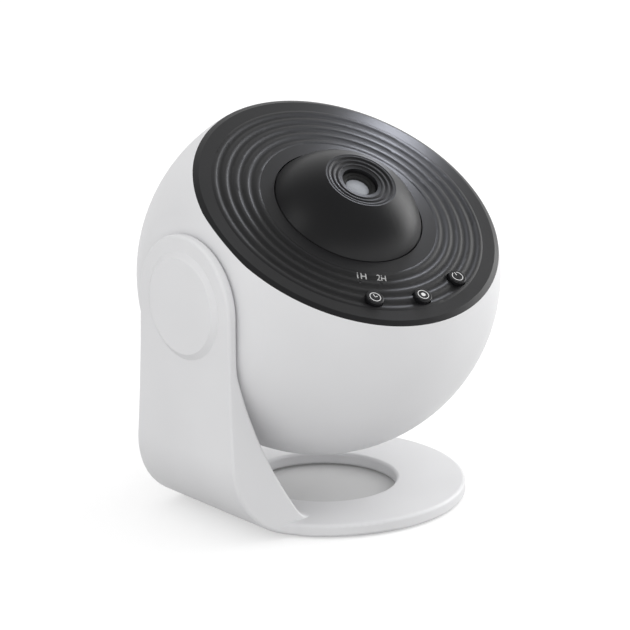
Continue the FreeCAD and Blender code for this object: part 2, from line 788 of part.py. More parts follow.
def add_hub():
    # Everything on the pivot's line is turned about X, through the middle of the ball.
    face = f"(0 - arm_outer)"
    roof = f"({face} - hub_cap_rise)"
    plug_radius = "(hub_pocket_radius - 2 * running_gap)"
    plug_bore = f"({plug_radius} - hub_cap_plug_wall)"
    cap = turned("hub_cap", [
        (roof, "0"), (roof, "hub_cap_top_radius"), (face, "hub_cap_radius"), (face, plug_radius),
        (f"{face} + hub_cap_plug_depth", plug_radius), (f"{face} + hub_cap_plug_depth", plug_bore),
        (f"{roof} + hub_cap_roof", plug_bore), (f"{roof} + hub_cap_roof", "0"),
    ], "H_Axis")
    place_level(cap)
    flat = "(0 - side_flat)"
    washer = turned("friction_washer", [
        (flat, shaft_bore), (flat, "friction_washer_radius"),
        (f"{flat} - friction_washer_depth", "friction_washer_radius"),
        (f"{flat} - friction_washer_depth", shaft_bore),
    ], "H_Axis")
    place_level(washer)
    spring = turned("spring_washer", [
        (hub_floor, shaft_bore), (hub_floor, "plate_washer_radius"),
        (f"{hub_floor} - spring_washer_depth", "plate_washer_radius"),
        (f"{hub_floor} - spring_washer_depth", shaft_bore),
    ], "H_Axis")
    place_level(spring)
    plate = turned("pivot_washer", [
        (shaft_end, pivot_screw_bore), (shaft_end, "plate_washer_radius"),
        (f"{shaft_end} - plate_washer_depth", "plate_washer_radius"),
        (f"{shaft_end} - plate_washer_depth", pivot_screw_bore),
    ], "H_Axis")
    place_on_head(plate)
    screw_seat = f"({shaft_end} - plate_washer_depth)"
    screw = turned("pivot_screw", [
        (f"{screw_seat} - pivot_screw_head_depth", "0"),
        (f"{screw_seat} - pivot_screw_head_depth", "pivot_screw_head_radius"),
        (screw_seat, "pivot_screw_head_radius"), (screw_seat, "pivot_screw_radius"),
        (f"{screw_seat} + pivot_screw_reach", "pivot_screw_radius"),
        (f"{screw_seat} + pivot_screw_reach", "0"),
    ], "H_Axis")
    place_on_head(screw)
    tapped_depth = "(pivot_screw_reach + screw_tip_room)"
    shaft = turned("pivot_shaft", [
        (f"{pivot_pad_face} + shaft_flange_depth", "0"),
        (f"{pivot_pad_face} + shaft_flange_depth", "shaft_flange_radius"),
        (pivot_pad_face, "shaft_flange_radius"), (pivot_pad_face, "shaft_radius"),
        (shaft_end, "shaft_radius"), (shaft_end, pivot_screw_bore),
        (f"{shaft_end} + {tapped_depth}", pivot_screw_bore), (f"{shaft_end} + {tapped_depth}", "0"),
    ], "H_Axis")
    drill(shaft, "flange_holes", pivot_pad_face, "shaft_flange_depth", screw_bore,
          pivot_screw_spots, True, "YZ_Plane")
    place_on_head(shaft)
    # the flange's screws lie along X, heads inwards
    solids = []
    for number, (across, along) in enumerate(pivot_screw_spots, start=1):
        name = "pivot_shaft_screws_" + str(number)
        head = rod(name + "_head", "screw_head_radius", "screw_head_height",
                   f"{pivot_pad_face} + shaft_flange_depth", across, along)
        shank = rod(name + "_shank", "screw_radius",
                    "shaft_flange_depth + pivot_pad_depth - screw_tip_room",
                    f"{pivot_pad_face} + screw_tip_room - pivot_pad_depth", across, along)
        for part in (head, shank):
            base = part.Placement.Base
            part.Placement = FreeCAD.Placement(base, FreeCAD.Rotation(FreeCAD.Vector(0, 1, 0), 90))
        screw = doc.addObject("Part::Fuse", name)
        screw.Base = head
        screw.Tool = shank
        solids.append(screw)
    place_on_head(group("pivot_shaft_screws", solids))


# ---------------------------------------------------------------- the shell
def port_sketch(body, name, distance):
    # A sketch square to the power socket's line, at a distance from the ball's middle.
    # The line leaves the back of the head and is level while the head is tilted as shown.
    sketch = new_sketch(body, name, "XZ_Plane")
    sketch.AttachmentOffset = FreeCAD.Placement(
        FreeCAD.Vector(0, 0, 0), FreeCAD.Rotation(FreeCAD.Vector(1, 0, 0), -value("tilt_angle")))
    bind(sketch, "AttachmentOffset.Base.y", f"0 - ({distance}) * sin(tilt_angle)")
    bind(sketch, "AttachmentOffset.Base.z", f"0 - ({distance}) * cos(tilt_angle)")
    bind(sketch, "AttachmentOffset.Rotation.Angle", "0 - tilt_angle")
    return sketch


def cut_side_flat(body):
    # what the ball loses at the pivot: a flat seat, and a wide round that runs out into the ball
    round_middle = "(side_flat - flat_round)"
    seat_radius = f"sqrt((ball_radius - flat_round)^2 - {round_middle}^2)"
    turn = f"atan({seat_radius} / {round_middle})"
    cut = new_sketch(body, body.Label + "_side_flat")
    outline(cut, [
        ("0 - side_flat", "0"),
        ("0 - side_flat", seat_radius),
        (f"0 - {round_middle} - flat_round * cos({turn} / 2)",
         f"{seat_radius} + flat_round * sin({turn} / 2)", "via"),
        (f"0 - ball_radius * cos({turn})", f"ball_radius * sin({turn})"),
        (f"0 - ball_radius - {overrun}", f"ball_radius * sin({turn})"),
        (f"0 - ball_radius - {overrun}", "0"),
    ])
    groove(body, cut, "H_Axis")


def add_body_shell():
    body = new_body("body_shell")
    bowl = new_sketch(body, "bowl_outline")
    outline(bowl, [
        ("0", "0 - ball_radius"), ("ball_radius", "0", "via"), ("mouth_radius", "mouth_level"),
        (mouth_bore, "mouth_level"), (inner_ball, "0", "via"), ("0", f"0 - {inner_ball}"),
    ])
    revolve(body, bowl)
    # the thick flat seat of the pivot
    seat = new_sketch(body, "pivot_seat", "YZ_Plane", "0 - side_flat")
    circle(seat, "pivot_pad_radius")
    pad(body, seat, "pivot_pad_depth")
    cut_side_flat(body)
    drill(body, "pivot_bore", "0 - side_flat", "pivot_pad_depth", "shaft_radius + screw_fit",
          [("0", "0")], True, "YZ_Plane")
    drill(body, "pivot_pilots", pivot_pad_face, "pivot_pad_depth - pilot_floor", screw_bore,
          pivot_screw_spots, False, "YZ_Plane")
    # four bosses that carry the main board
    spots = corner_spots("main_board_boss_across", "main_board_boss_along")
    boss_foot = "sqrt((ball_radius - boss_skin)^2 - (sqrt(main_board_boss_across^2" \
                " + main_board_boss_along^2) + boss_radius)^2)"
    bosses = new_sketch(body, "board_bosses", "XY_Plane", "main_board_level")
    for across, along in spots:
        circle(bosses, "boss_radius", across, along)
    pad(body, bosses, f"{boss_foot} + main_board_level", True)
    drill(body, "board_pilots", "main_board_level", "board_screw_hold + screw_tip_room", screw_bore, spots)
    # the power socket's opening, and a shallow seat round it for the plug
    opening = port_sketch(body, "port_opening", "0")
    stadium(opening, "port_width + 2 * moving_gap", "port_height + 2 * moving_gap")
    pocket(body, opening, f"ball_radius + {overrun}")
    recess = port_sketch(body, "port_recess", "port_recess_floor")
    stadium(recess, "port_width + 2 * port_recess_margin", "port_height + 2 * port_recess_margin")
    pocket(body, recess, f"ball_radius - port_recess_floor + {overrun}")
    # two grooved rails that hold the socket's board by its edges
    for name, side in (("left_rail", "-1"), ("right_rail", "1")):
        rail = port_sketch(body, name, "rail_start")
        lip = "(port_board_half_width - rail_lip)"
        groove = "(port_board_half_width + running_gap)"
        back = "(port_board_half_width + rail_back)"
        outline(rail, [
            (f"{side} * {lip}", f"{port_board_foot} - rail_height"),
            (f"{side} * {back}", f"{port_board_foot} - rail_height"),
            (f"{side} * {back}", f"{port_board_top} + rail_height"),
            (f"{side} * {lip}", f"{port_board_top} + rail_height"),
            (f"{side} * {lip}", f"{port_board_top} + running_gap"),
            (f"{side} * {groove}", f"{port_board_top} + running_gap"),
            (f"{side} * {groove}", f"{port_board_foot} - running_gap"),
            (f"{side} * {lip}", f"{port_board_foot} - running_gap"),
        ])
        pad(body, rail, "rail_end - rail_start", True)
    place_on_head(body)


# ---------------------------------------------------------------- the front panel
def add_top_panel():
    body = new_body("top_panel")
    skirt_radius = f"({mouth_bore} - skirt_gap)"
    skirt_bore = f"({skirt_radius} - skirt_wall)"
    skirt_foot = "(mouth_level - skirt_depth)"
    bead_level = "(mouth_level - snap_drop)"
    collar_radius = f"({collar_bore} + collar_wall)"
    ledge_bore = f"({collar_bore} - collar_ledge_reach)"
    last = ripple_count - 1
    # the ripples share the band between their two margins
    wave_start = "(panel_hole_radius + ripple_inner_margin)"
    pitch = f"((bevel_radius - ripple_outer_margin - {wave_start}) / {ripple_count - 0.5})"
    corners = [
        ("panel_hole_radius", dome_foot_level),
        (wave_start, panel_top_at(wave_start)),
    ]
    # the ripples: crests and hollows in turn, each an arc half a pitch wide
    for step in range(ripple_count):
        crest = f"({wave_start} + {step + 0.25} * {pitch})"
        crest_end = f"({crest} + {pitch} / 4)"
        corners.append((crest, f"{panel_top_at(crest)} + ripple_rise / 2", "via"))
        corners.append((crest_end, panel_top_at(crest_end)))
        if step < last:
            hollow = f"({crest} + {pitch} / 2)"
            hollow_end = f"({crest} + 3 * {pitch} / 4)"
            corners.append((hollow, f"{panel_top_at(hollow)} - ripple_rise / 2", "via"))
            corners.append((hollow_end, panel_top_at(hollow_end)))
    corners += [
        ("bevel_radius", bevel_level), (panel_edge_radius, "mouth_level"),
        (skirt_radius, "mouth_level"), (skirt_radius, f"{bead_level} + snap_reach"),
        (f"{skirt_radius} + snap_reach", bead_level),
        (skirt_radius, f"{bead_level} - 2 * snap_reach"), (skirt_radius, skirt_foot),
        (skirt_bore, skirt_foot), (skirt_bore, panel_under_outer), (collar_radius, panel_under_inner),
        (collar_radius, collar_foot), (ledge_bore, collar_foot), (ledge_bore, unit_floor),
        (collar_bore, unit_floor), (collar_bore, panel_under_inner), ("panel_hole_radius", panel_under_inner),
    ]
    section = new_sketch(body, "panel_outline")
    outline(section, corners)
    revolve(body, section)
    # gaps in the skirt leave six springy hooks that snap in under the shell's lip
    gap = new_sketch(body, "snap_gap", "YZ_Plane", f"0 - mouth_radius")
    rectangle(gap, "0 - snap_slot_width / 2", "snap_slot_width / 2",
              f"{skirt_foot} - {overrun}", panel_under_outer)
    gap_cut = pocket(body, gap, f"mouth_radius - sqrt({skirt_bore}^2 - (snap_slot_width / 2)^2) + {overrun}",
                     True)
    repeat_round(body, gap_cut, snap_count)
    # bosses for the optics deck and for the button board
    deck_spots = ring_spots("post_orbit", 4, 45)
    posts = new_sketch(body, "deck_bosses", "XY_Plane", "post_top_level")
    for across, along in deck_spots:
        circle(posts, "post_radius", across, along)
    pad(body, posts, f"{panel_under_inner} + boss_skin - post_top_level")
    drill(body, "deck_pilots", "post_top_level", "deck_screw_hold + screw_tip_room", screw_bore,
          deck_spots, True)
    bosses = new_sketch(body, "button_board_bosses", "XY_Plane", button_board_top)
    for across, along in board_boss_spots:
        circle(bosses, "boss_radius", across, along)
    pad(body, bosses, f"{panel_under_inner} - {button_board_top}")
    drill(body, "board_boss_pilots", button_board_top, "button_screw_hold + screw_tip_room", screw_bore,
          board_boss_spots, True)
    # holes for the buttons and for the two indicator light pipes
    through_panel = f"{dome_foot_level} - {panel_under_outer} + 2 * {overrun}"
    drill(body, "button_holes", f"{dome_foot_level} + {overrun}", through_panel,
          "button_radius + button_gap", [spot for name, spot in button_spots])
    drill(body, "indicator_holes", f"{dome_foot_level} + {overrun}", through_panel,
          "indicator_radius + screw_fit", indicator_spots)
    cut_side_flat(body)
    place_on_head(body)


def add_buttons():
    top = "(mouth_level + button_stand)"
    shoulder = f"({panel_under_outer} - button_gap)"
    flange_foot = f"({shoulder} - button_flange_depth)"
    corner = "button_round * (1 - cos(45))"
    plunger_foot = f"({button_board_top} + switch_floor + press_travel + 2 * running_gap)"
    for name, (across, along) in button_spots:
        cap = turned(name + "_button", [
            ("0", top), ("button_radius - button_round", top),
            (f"button_radius - {corner}", f"{top} - {corner}", "via"),
            ("button_radius", f"{top} - button_round"), ("button_radius", shoulder),
            ("button_flange_radius", shoulder), ("button_flange_radius", flange_foot),
            ("plunger_radius", flange_foot), ("plunger_radius", plunger_top), ("0", plunger_top),
        ])
        place_on_head(cap, across, along)
        plunger = turned(name + "_plunger", [
            ("0", plunger_top), ("plunger_radius", plunger_top),
            ("plunger_radius", plunger_foot), ("0", plunger_foot),
        ])
        place_on_head(plunger, across, along)


def add_button_board():
    body = new_body("button_board")
    half = "button_board_half_angle"
    outer, inner = "button_board_radius", "button_board_inner_radius"
    board = new_sketch(body, "button_board_outline", "XY_Plane", "button_board_level")
    outline(board, [
        (f"{outer} * sin({half})", f"0 - {outer} * cos({half})"), ("0", f"0 - {outer}", "via"),
        (f"0 - {outer} * sin({half})", f"0 - {outer} * cos({half})"),
        (f"0 - {inner} * sin({half})", f"0 - {inner} * cos({half})"),
        ("first_indicator_across - board_tab_reach", "first_indicator_along + board_tab_depth"),
        ("second_indicator_across + board_tab_reach", "second_indicator_along + board_tab_depth"),
        ("0", f"0 - {inner}"),
        (f"{inner} * sin({half} / 2)", f"0 - {inner} * cos({half} / 2)", "via"),
        (f"{inner} * sin({half})", f"0 - {inner} * cos({half})"),
    ])
    pad(body, board, "board_thickness")
    drill(body, "button_board_holes", button_board_top, "board_thickness", screw_bore, board_boss_spots)
    place_on_head(body)
    switches = []
    for name, (across, along) in button_spots:
        case = block(name + "_switch_case", "2 * switch_half_width", "2 * switch_half_width",
                     "switch_height", across, along, button_board_top)
        bore = rod(name + "_switch_bore", "plunger_radius + 2 * running_gap", "switch_height",
                   across, along, f"{button_board_top} + switch_floor")
        switch = doc.addObject("Part::Cut", name + "_switch")
        switch.Base = case
        switch.Tool = bore
        switches.append(switch)
    place_on_head(group("tact_switches", switches))
    lights = []
    pipes = []
    for number, (across, along) in enumerate(indicator_spots, start=1):
        lights.append(block(f"indicator_{number}", "indicator_length", "indicator_width",
                            "indicator_height", across, along, button_board_top))
        pipe_foot = f"({button_board_top} + indicator_height + 2 * running_gap)"
        pipe_top = panel_top_at(f"sqrt(({across})^2 + ({along})^2)")
        pipes.append(rod(f"pipe_{number}", "indicator_radius", f"{pipe_top} - {pipe_foot}",
                         across, along, pipe_foot))
    place_on_head(group("indicator_leds", lights))
    place_on_head(group("indicator_light_pipes", pipes))
    place_on_head(screws("button_board_screws", board_boss_spots, "button_board_level",
                         "board_thickness + button_screw_hold"))


# ---------------------------------------------------------------- the optics deck
def add_optics_deck():
    body = new_body("optics_deck")
    section = new_sketch(body, "deck_outline")
    bearing_bore = "(bearing_radius - bearing_wall)"
    outline(section, [
        ("light_hole_radius", "deck_level"), ("deck_radius", "deck_level"), ("deck_radius", deck_top),
        ("bearing_radius", deck_top), ("bearing_radius", f"{deck_top} + bearing_height"),
        (bearing_bore, f"{deck_top} + bearing_height"), (bearing_bore, deck_top),
        ("light_hole_radius", deck_top),
    ])
    revolve(body, section)
    deck_spots = ring_spots("post_orbit", 4, 45)
    posts = new_sketch(body, "deck_posts", "XY_Plane", "deck_level")
    for across, along in deck_spots:
        circle(posts, "post_radius", across, along)
    pad(body, posts, "post_top_level - deck_level")
    drill(body, "post_holes", "deck_level", "post_top_level - deck_level", screw_bore, deck_spots, True)
    # three hooks that keep the gear ring down
    hook_face = f"({gear_tip_radius} + hook_gap)"
    hook_under = f"({gear_top} + hook_clearance)"
    hook_foot = "(deck_level + deck_thickness / 2)"
    hook = new_sketch(body, "hook_outline", "XZ_Plane", "0 - hook_width / 2")
    outline(hook, [
        (hook_face, hook_foot), (f"{hook_face} + hook_wall", hook_foot),
        (f"{hook_face} + hook_wall", f"{hook_under} + hook_height"),
        (f"{hook_face} - hook_reach", f"{hook_under} + hook_height"),
        (f"{hook_face} - hook_reach", hook_under), (hook_face, hook_under),
    ])
    hook_pad = pad(body, hook, "hook_width")
    repeat_round(body, hook_pad, 3)
    drill(body, "motor_boss_hole", deck_top, "deck_thickness", "motor_boss_radius + moving_gap",
          [("0", "drive_reach")])
    drill(body, "motor_pilots", "deck_level", "deck_thickness", screw_bore, motor_screw_spots, True)
    drill(body, "lamp_pilots", "deck_level", "deck_thickness - pilot_floor", screw_bore,
          lamp_screw_spots, True)
    place_on_head(body)
    place_on_head(screws("deck_screws", deck_spots, "deck_level",
                         "post_top_level - deck_level + deck_screw_hold"))


def add_motor():
    can_foot = f"({motor_top} - motor_height)"
    socket_foot = f"({can_foot} + shaft_socket_foot)"
    shaft_foot = f"({socket_foot} + 4 * running_gap)"
    body = turned("drive_motor", [
        ("0", can_foot), ("motor_radius", can_foot), ("motor_radius", motor_top),
        ("motor_boss_radius", motor_top), ("motor_boss_radius", f"{motor_top} + motor_boss_height"),
        (shaft_fit, f"{motor_top} + motor_boss_height"), (shaft_fit, socket_foot), ("0", socket_foot),
    ])
    ears = new_sketch(body, "motor_ears", "XY_Plane", motor_top)
    stadium(ears, "2 * (motor_ear_reach + motor_ear_radius)", "2 * motor_ear_radius")
    circle(ears, "motor_boss_radius")
    pad(body, ears, "motor_ear_depth", True)
    drill(body, "ear_holes", motor_top, "motor_ear_depth", screw_bore,
          [("motor_ear_reach", "0"), ("0 - motor_ear_reach", "0")])
    place_on_head(body, "0", "drive_reach")
    place_on_head(screws("motor_screws", motor_screw_spots, f"{motor_top} - motor_ear_depth",
                         "motor_ear_depth + deck_thickness"))
    shaft = turned("motor_shaft", [
        ("0", shaft_foot), ("motor_shaft_radius", shaft_foot), ("motor_shaft_radius", pinion_top),
        ("0", pinion_top),
    ])
    place_on_head(shaft, "0", "drive_reach")


def involute(angle):
    return math.tan(angle) - angle


def tooth_space(sketch, teeth, pitch_radius):
    # The space between two teeth of a spur gear, symmetrical about +X. Its flanks are
    # arcs through three points of the 20 degree involute.
    pressure = math.radians(20)
    pitch = value(pitch_radius)
    module = value("gear_module")
    base = pitch * math.cos(pressure)

    def half_space(radius):
        # the angle from the middle of the space to the flank, in degrees
        lean = math.acos(min(1.0, base / radius))
        return math.degrees(math.pi / (2 * teeth) - involute(pressure) + involute(lean))

    tip = f"({pitch_radius} + gear_module)"
    root = f"({pitch_radius} - 1.25 * gear_module)"
    beyond = f"({pitch_radius} + 1.4 * gear_module)"
    root_half = half_space(max(base, pitch - 1.25 * module))
    middle_half = half_space(pitch)
    tip_half = half_space(pitch + module)

    def spot(radius, angle, *mark):
        return (f"{radius} * cos({angle})", f"{radius} * sin({angle})", *mark)

    outline(sketch, [
        spot(root, -root_half), spot(root, 0, "via"), spot(root, root_half),
        spot(pitch_radius, middle_half, "via"), spot(tip, tip_half),
        spot(beyond, tip_half), spot(beyond, -tip_half),
        spot(tip, -tip_half), spot(pitch_radius, -middle_half, "via"),
    ])


def toothed_ring(label, teeth, pitch_radius, foot, height):
    body = new_body(label)
    blank = new_sketch(body, label + "_blank", "XY_Plane", foot)
    circle(blank, f"{pitch_radius} + gear_module")
    pad(body, blank, height)
    space = new_sketch(body, label + "_space", "XY_Plane", foot)
    tooth_space(space, teeth, pitch_radius)
    cut = pocket(body, space, height, True)
    repeat_round(body, cut, teeth)
    return body


def add_disc_drive():
    ring = toothed_ring("disc_gear", int(value("gear_teeth")), "gear_pitch_radius", gear_foot,
                        "gear_height")
    disc_floor_foot = f"({disc_seat} - disc_floor)"
    drill(ring, "gear_bore", gear_foot, f"{disc_floor_foot} - {gear_foot}",
          "bearing_radius + gear_gap", [("0", "0")], True)
    drill(ring, "disc_pocket", gear_top, f"{gear_top} - {disc_seat}", "disc_radius + moving_gap",
          [("0", "0")])
    drill(ring, "gear_window", disc_seat, "disc_floor", "disc_window_radius + gear_window_margin",
          [("0", "0")])
    place_on_head(ring)
    film_seat = f"({disc_seat} + film_ledge)"
    frame = turned("star_disc_frame", [
        ("disc_window_radius", disc_seat), ("disc_radius", disc_seat),
        ("disc_radius", f"{disc_seat} + disc_thickness"),
        ("film_radius + running_gap", f"{disc_seat} + disc_thickness"),
        ("film_radius + running_gap", film_seat), ("disc_window_radius", film_seat),
    ])
    place_on_head(frame)
    film = turned("star_disc_film", [
        ("0", film_seat), ("film_radius", film_seat), ("film_radius", f"{film_seat} + film_thickness"),
        ("0", f"{film_seat} + film_thickness"),
    ])
    place_on_head(film)
    pinion = toothed_ring("drive_pinion", int(value("pinion_teeth")), "pinion_pitch_radius",
                          pinion_foot, "pinion_height")
    drill(pinion, "pinion_bore", pinion_foot, "pinion_height", "motor_shaft_radius + screw_fit / 2",
          [("0", "0")], True)
    place_on_head(pinion, "0", "drive_reach")


# ---------------------------------------------------------------- the lamp
def add_lamp():
    seat = "(condenser_level)"
    house = turned("lamp_house", [
        ("lamp_bore_radius", "deck_level"), ("lamp_flange_radius", "deck_level"),
        ("lamp_flange_radius", "deck_level - lamp_flange_depth"),
        (lamp_radius, "deck_level - lamp_flange_depth"), (lamp_radius, "sink_level"),
        ("lamp_cone_radius", "sink_level"), ("lamp_cone_radius", seat), ("lamp_bore_radius", seat),
    ])
    ears = new_sketch(house, "lamp_ears", "XY_Plane", "deck_level")
    circle(ears, "lamp_ear_radius", lamp_screw_spots[0][0], lamp_screw_spots[0][1])
    ear_pad = pad(house, ears, "lamp_flange_depth", True)
    repeat_round(house, ear_pad, 3)
    foot = new_sketch(house, "lamp_foot", "XY_Plane", "sink_level")
    rectangle(foot, "0 - sink_half_width", "sink_half_width", "0 - sink_half_width", "sink_half_width")
    pad(house, foot, "lamp_flange_depth")
    drill(house, "lamp_foot_bore", "sink_level", "lamp_flange_depth", "lamp_cone_radius",
          [("0", "0")], True)
    drill(house, "lamp_bore_clear", "deck_level", "lamp_flange_depth", "lamp_bore_radius", [("0", "0")])
    drill(house, "lamp_ear_holes", "deck_level", "lamp_flange_depth", screw_bore, lamp_screw_spots)
    drill(house, "lamp_foot_holes", "sink_level", "lamp_flange_depth", screw_bore, sink_screw_spots, True)
    place_on_head(house)
    place_on_head(screws("lamp_screws", lamp_screw_spots, "deck_level - lamp_flange_depth",
                         "lamp_flange_depth + deck_thickness - pilot_floor - 2 * running_gap"))
    lens_top = f"({seat} + condenser_edge)"
    curve = "((condenser_radius^2 + condenser_bulge^2) / (2 * condenser_bulge))"
    lens = turned("condenser_lens", [
        ("0", seat), ("condenser_radius", seat), ("condenser_radius", lens_top),
        (f"{curve} * sin(22)", f"{lens_top} + condenser_bulge - {curve} * (1 - cos(22))", "via"),
        ("0", f"{lens_top} + condenser_bulge"),
    ])
    place_on_head(lens)
    ring_bore = "lamp_cone_radius"
    ring_foot = f"({lens_top} + sqrt({curve}^2 - {ring_bore}^2)" \
                f" - sqrt({curve}^2 - condenser_radius^2) + lens_ring_gap)"
    ring = turned("condenser_ring", [
        (ring_bore, ring_foot), ("lamp_bore_radius - running_gap", ring_foot),
        ("lamp_bore_radius - running_gap", f"{ring_foot} + condenser_ring_depth"),
        (ring_bore, f"{ring_foot} + condenser_ring_depth"),
    ])
    place_on_head(ring)
    board = turned("led_board", [
        ("0", "sink_level"), ("led_board_radius", "sink_level"), ("led_board_radius", led_board_top),
        ("0", led_board_top),
    ])
    place_on_head(board)
    dome_foot = f"({led_board_top} + led_foot)"
    dome = "(led_height - led_foot)"
    emitter = turned("led_emitter", [
        ("0", led_board_top), ("led_radius", led_board_top), ("led_radius", dome_foot),
        (dome, dome_foot), (f"{dome} * cos(45)", f"{dome_foot} + {dome} * sin(45)", "via"),
        ("0", f"{dome_foot} + {dome}"),
    ])
    place_on_head(emitter)
    sink = new_body("heat_sink")
    slab = new_sketch(sink, "sink_outline", "XY_Plane", "sink_level")
    rectangle(slab, "0 - sink_half_width", "sink_half_width", "0 - sink_half_width", "sink_half_width")
    pad(sink, slab, "sink_height", True)
    first = f"(0 - fin_pitch * {fin_slots - 1} / 2)"
    gap = new_sketch(sink, "fin_gap_outline", "XZ_Plane", "0 - sink_half_width")
    rectangle(gap, f"{first} - fin_gap / 2", f"{first} + fin_gap / 2",
              "sink_level - sink_height", "sink_level - sink_floor")
    gap_cut = pocket(sink, gap, "2 * sink_half_width", True)
    fins = sink.newObject("PartDesign::LinearPattern", "fins")
    fins.Originals = [gap_cut]
    fins.Direction = (origin_of(sink, "X_Axis"), [""])
    bind(fins, "Length", f"fin_pitch * {fin_slots - 1}")
    fins.Occurrences = fin_slots
    sink.Tip = fins
    drill(sink, "sink_holes", "sink_level", "sink_height", screw_bore, sink_screw_spots)
    place_on_head(sink)
    place_on_head(screws("heat_sink_screws", sink_screw_spots, "sink_level - sink_height",
                         "sink_height + lamp_flange_depth"))


# ---------------------------------------------------------------- the lens unit
def add_lens_unit():
    collar_top = f"({dome_skirt_foot} - moving_gap)"
    skirt_bore = "(dome_radius - dome_wall)"
    floor_top = f"({unit_floor} + unit_floor_depth)"
    collar = turned("lens_collar", [
        (guide_bore, unit_floor), ("dome_radius", unit_floor), ("dome_radius", collar_top),
        (skirt_bore, collar_top), (skirt_bore, floor_top), (guide_radius, floor_top),
        (guide_radius, "guide_top_level"), (guide_bore, "guide_top_level"),
    ])
    travel = "(focus_lead * focus_half_turn / 360)"
    slot_half = "(pin_radius + pin_gap)"
    slot = new_sketch(collar, "guide_slot", "YZ_Plane")
    rectangle(slot, f"0 - {slot_half}", slot_half, f"pin_level - {travel} - {slot_half} - 2 * running_gap",
              f"guide_top_level + {overrun}")
    slot_cut = pocket(collar, slot, f"{guide_radius} + {overrun}", True)
    repeat_round(collar, slot_cut, pin_count)
    place_on_head(collar)

    # the dome that turns to focus
    run = "(dome_radius - crater_rim_radius)"
    rise = f"(crater_rim_level - {dome_foot_level})"
    slant = f"sqrt({run}^2 + {rise}^2)"
    last = crater_ripple_count - 1
    slope = "((crater_rim_level - crater_hole_level) / (crater_rim_radius - crater_hole_radius))"

    def crater_at(radius):
        return f"(crater_hole_level + {slope} * (({radius}) - crater_hole_radius))"

    corners = [
        ("dome_radius", dome_skirt_foot), ("dome_radius", dome_foot_level),
        (f"dome_radius - {run} / 2 + dome_bulge * {rise} / {slant}",
         f"{dome_foot_level} + {rise} / 2 + dome_bulge * {run} / {slant}", "via"),
        ("crater_rim_radius", "crater_rim_level"),
    ]
    first = "(crater_rim_radius - crater_ripple_margin)"
    corners.append((first, crater_at(first)))
    for step in range(crater_ripple_count):
        edge = f"({first} - {step} * crater_ripple_pitch)"
        crest, crest_end = f"({edge} - crater_ripple_pitch / 4)", f"({edge} - crater_ripple_pitch / 2)"
        corners.append((crest, f"{crater_at(crest)} + crater_ripple_rise", "via"))
        corners.append((crest_end, crater_at(crest_end)))
        if step < last:
            hollow, hollow_end = f"({edge} - 3 * crater_ripple_pitch / 4)", f"({edge} - crater_ripple_pitch)"
            corners.append((hollow, f"{crater_at(hollow)} - crater_ripple_rise", "via"))
            corners.append((hollow_end, crater_at(hollow_end)))
    inner_foot_level = f"({dome_foot_level} - ceiling_edge_drop)"
    corners += [
        ("crater_hole_radius", "crater_hole_level"), ("crater_hole_radius", "ceiling_level"),
        ("ceiling_radius", "ceiling_level"),
        (f"(ceiling_radius + {skirt_bore}) / 2 + ceiling_bulge",
         f"(ceiling_level + {inner_foot_level}) / 2 + ceiling_bulge", "via"),
        (skirt_bore, inner_foot_level), (skirt_bore, dome_skirt_foot),
    ]
    dome = turned("focus_dome", corners)
    cam_screw_spots = ring_spots(f"({sleeve_radius} + cam_screw_margin)", 3, 30)
    drill(dome, "dome_pilots", "ceiling_level", "cam_screw_hold + pilot_floor", screw_bore,
          cam_screw_spots, True)
    place_on_head(dome)

    # the cam sleeve under the dome: three helical slots move the lens barrel in and out
    clip_top = f"({unit_floor} - clip_gap)"
    clip_foot = f"({clip_top} - clip_depth)"
    flange_foot = "(ceiling_level - sleeve_flange_depth)"
    groove = f"({sleeve_radius} - clip_groove_depth)"
    sleeve_foot = f"({clip_foot} - moving_gap)"
    sleeve = turned("focus_sleeve", [
        (sleeve_bore, sleeve_foot), (sleeve_radius, sleeve_foot),
        (sleeve_radius, clip_foot), (groove, clip_foot), (groove, clip_top), (sleeve_radius, clip_top),
        (sleeve_radius, flange_foot), ("ceiling_radius - moving_gap", flange_foot),
        ("ceiling_radius - moving_gap", "ceiling_level"), (sleeve_bore, "ceiling_level"),
    ])
    doc.recompute()
    spare_turn = "8"
    helix = new_sketch(sleeve, "cam_slot_outline", "XZ_Plane")
    start_turn = f"(focus_half_turn + {spare_turn})"
    start_level = f"(pin_level - focus_lead * {start_turn} / 360)"
    helix.AttachmentOffset = FreeCAD.Placement(
        FreeCAD.Vector(0, 0, 0), FreeCAD.Rotation(FreeCAD.Vector(0, 1, 0), -value(start_turn)))
    bind(helix, "AttachmentOffset.Rotation.Angle", f"0 - {start_turn}")
    rectangle(helix, f"{sleeve_bore} - {overrun}", f"{sleeve_radius} + {overrun}",
              f"{start_level} - {slot_half}", f"{start_level} + {slot_half}")
    cam = sleeve.newObject("PartDesign::SubtractiveHelix", "cam_slot")
    cam.Profile = helix
    cam.ReferenceAxis = (origin_of(sleeve, "Z_Axis"), [""])
    cam.Mode = "pitch-height-angle"
    bind(cam, "Pitch", "focus_lead")
    bind(cam, "Height", f"focus_lead * 2 * {start_turn} / 360")
    cam.LeftHanded = False
    repeat_round(sleeve, cam, pin_count)
    drill(sleeve, "sleeve_holes", "ceiling_level", "sleeve_flange_depth", screw_bore, cam_screw_spots)
    place_on_head(sleeve)
    place_on_head(screws("dome_screws", cam_screw_spots, flange_foot, "sleeve_flange_depth + cam_screw_hold"))
    clip = turned("sleeve_clip", [
        (f"{groove} + screw_fit", f"{clip_foot} + screw_fit"),
        (f"{guide_bore} + clip_reach", f"{clip_foot} + screw_fit"),
        (f"{guide_bore} + clip_reach", f"{clip_top} - screw_fit"),
        (f"{groove} + screw_fit", f"{clip_top} - screw_fit"),
    ])
    place_on_head(clip)

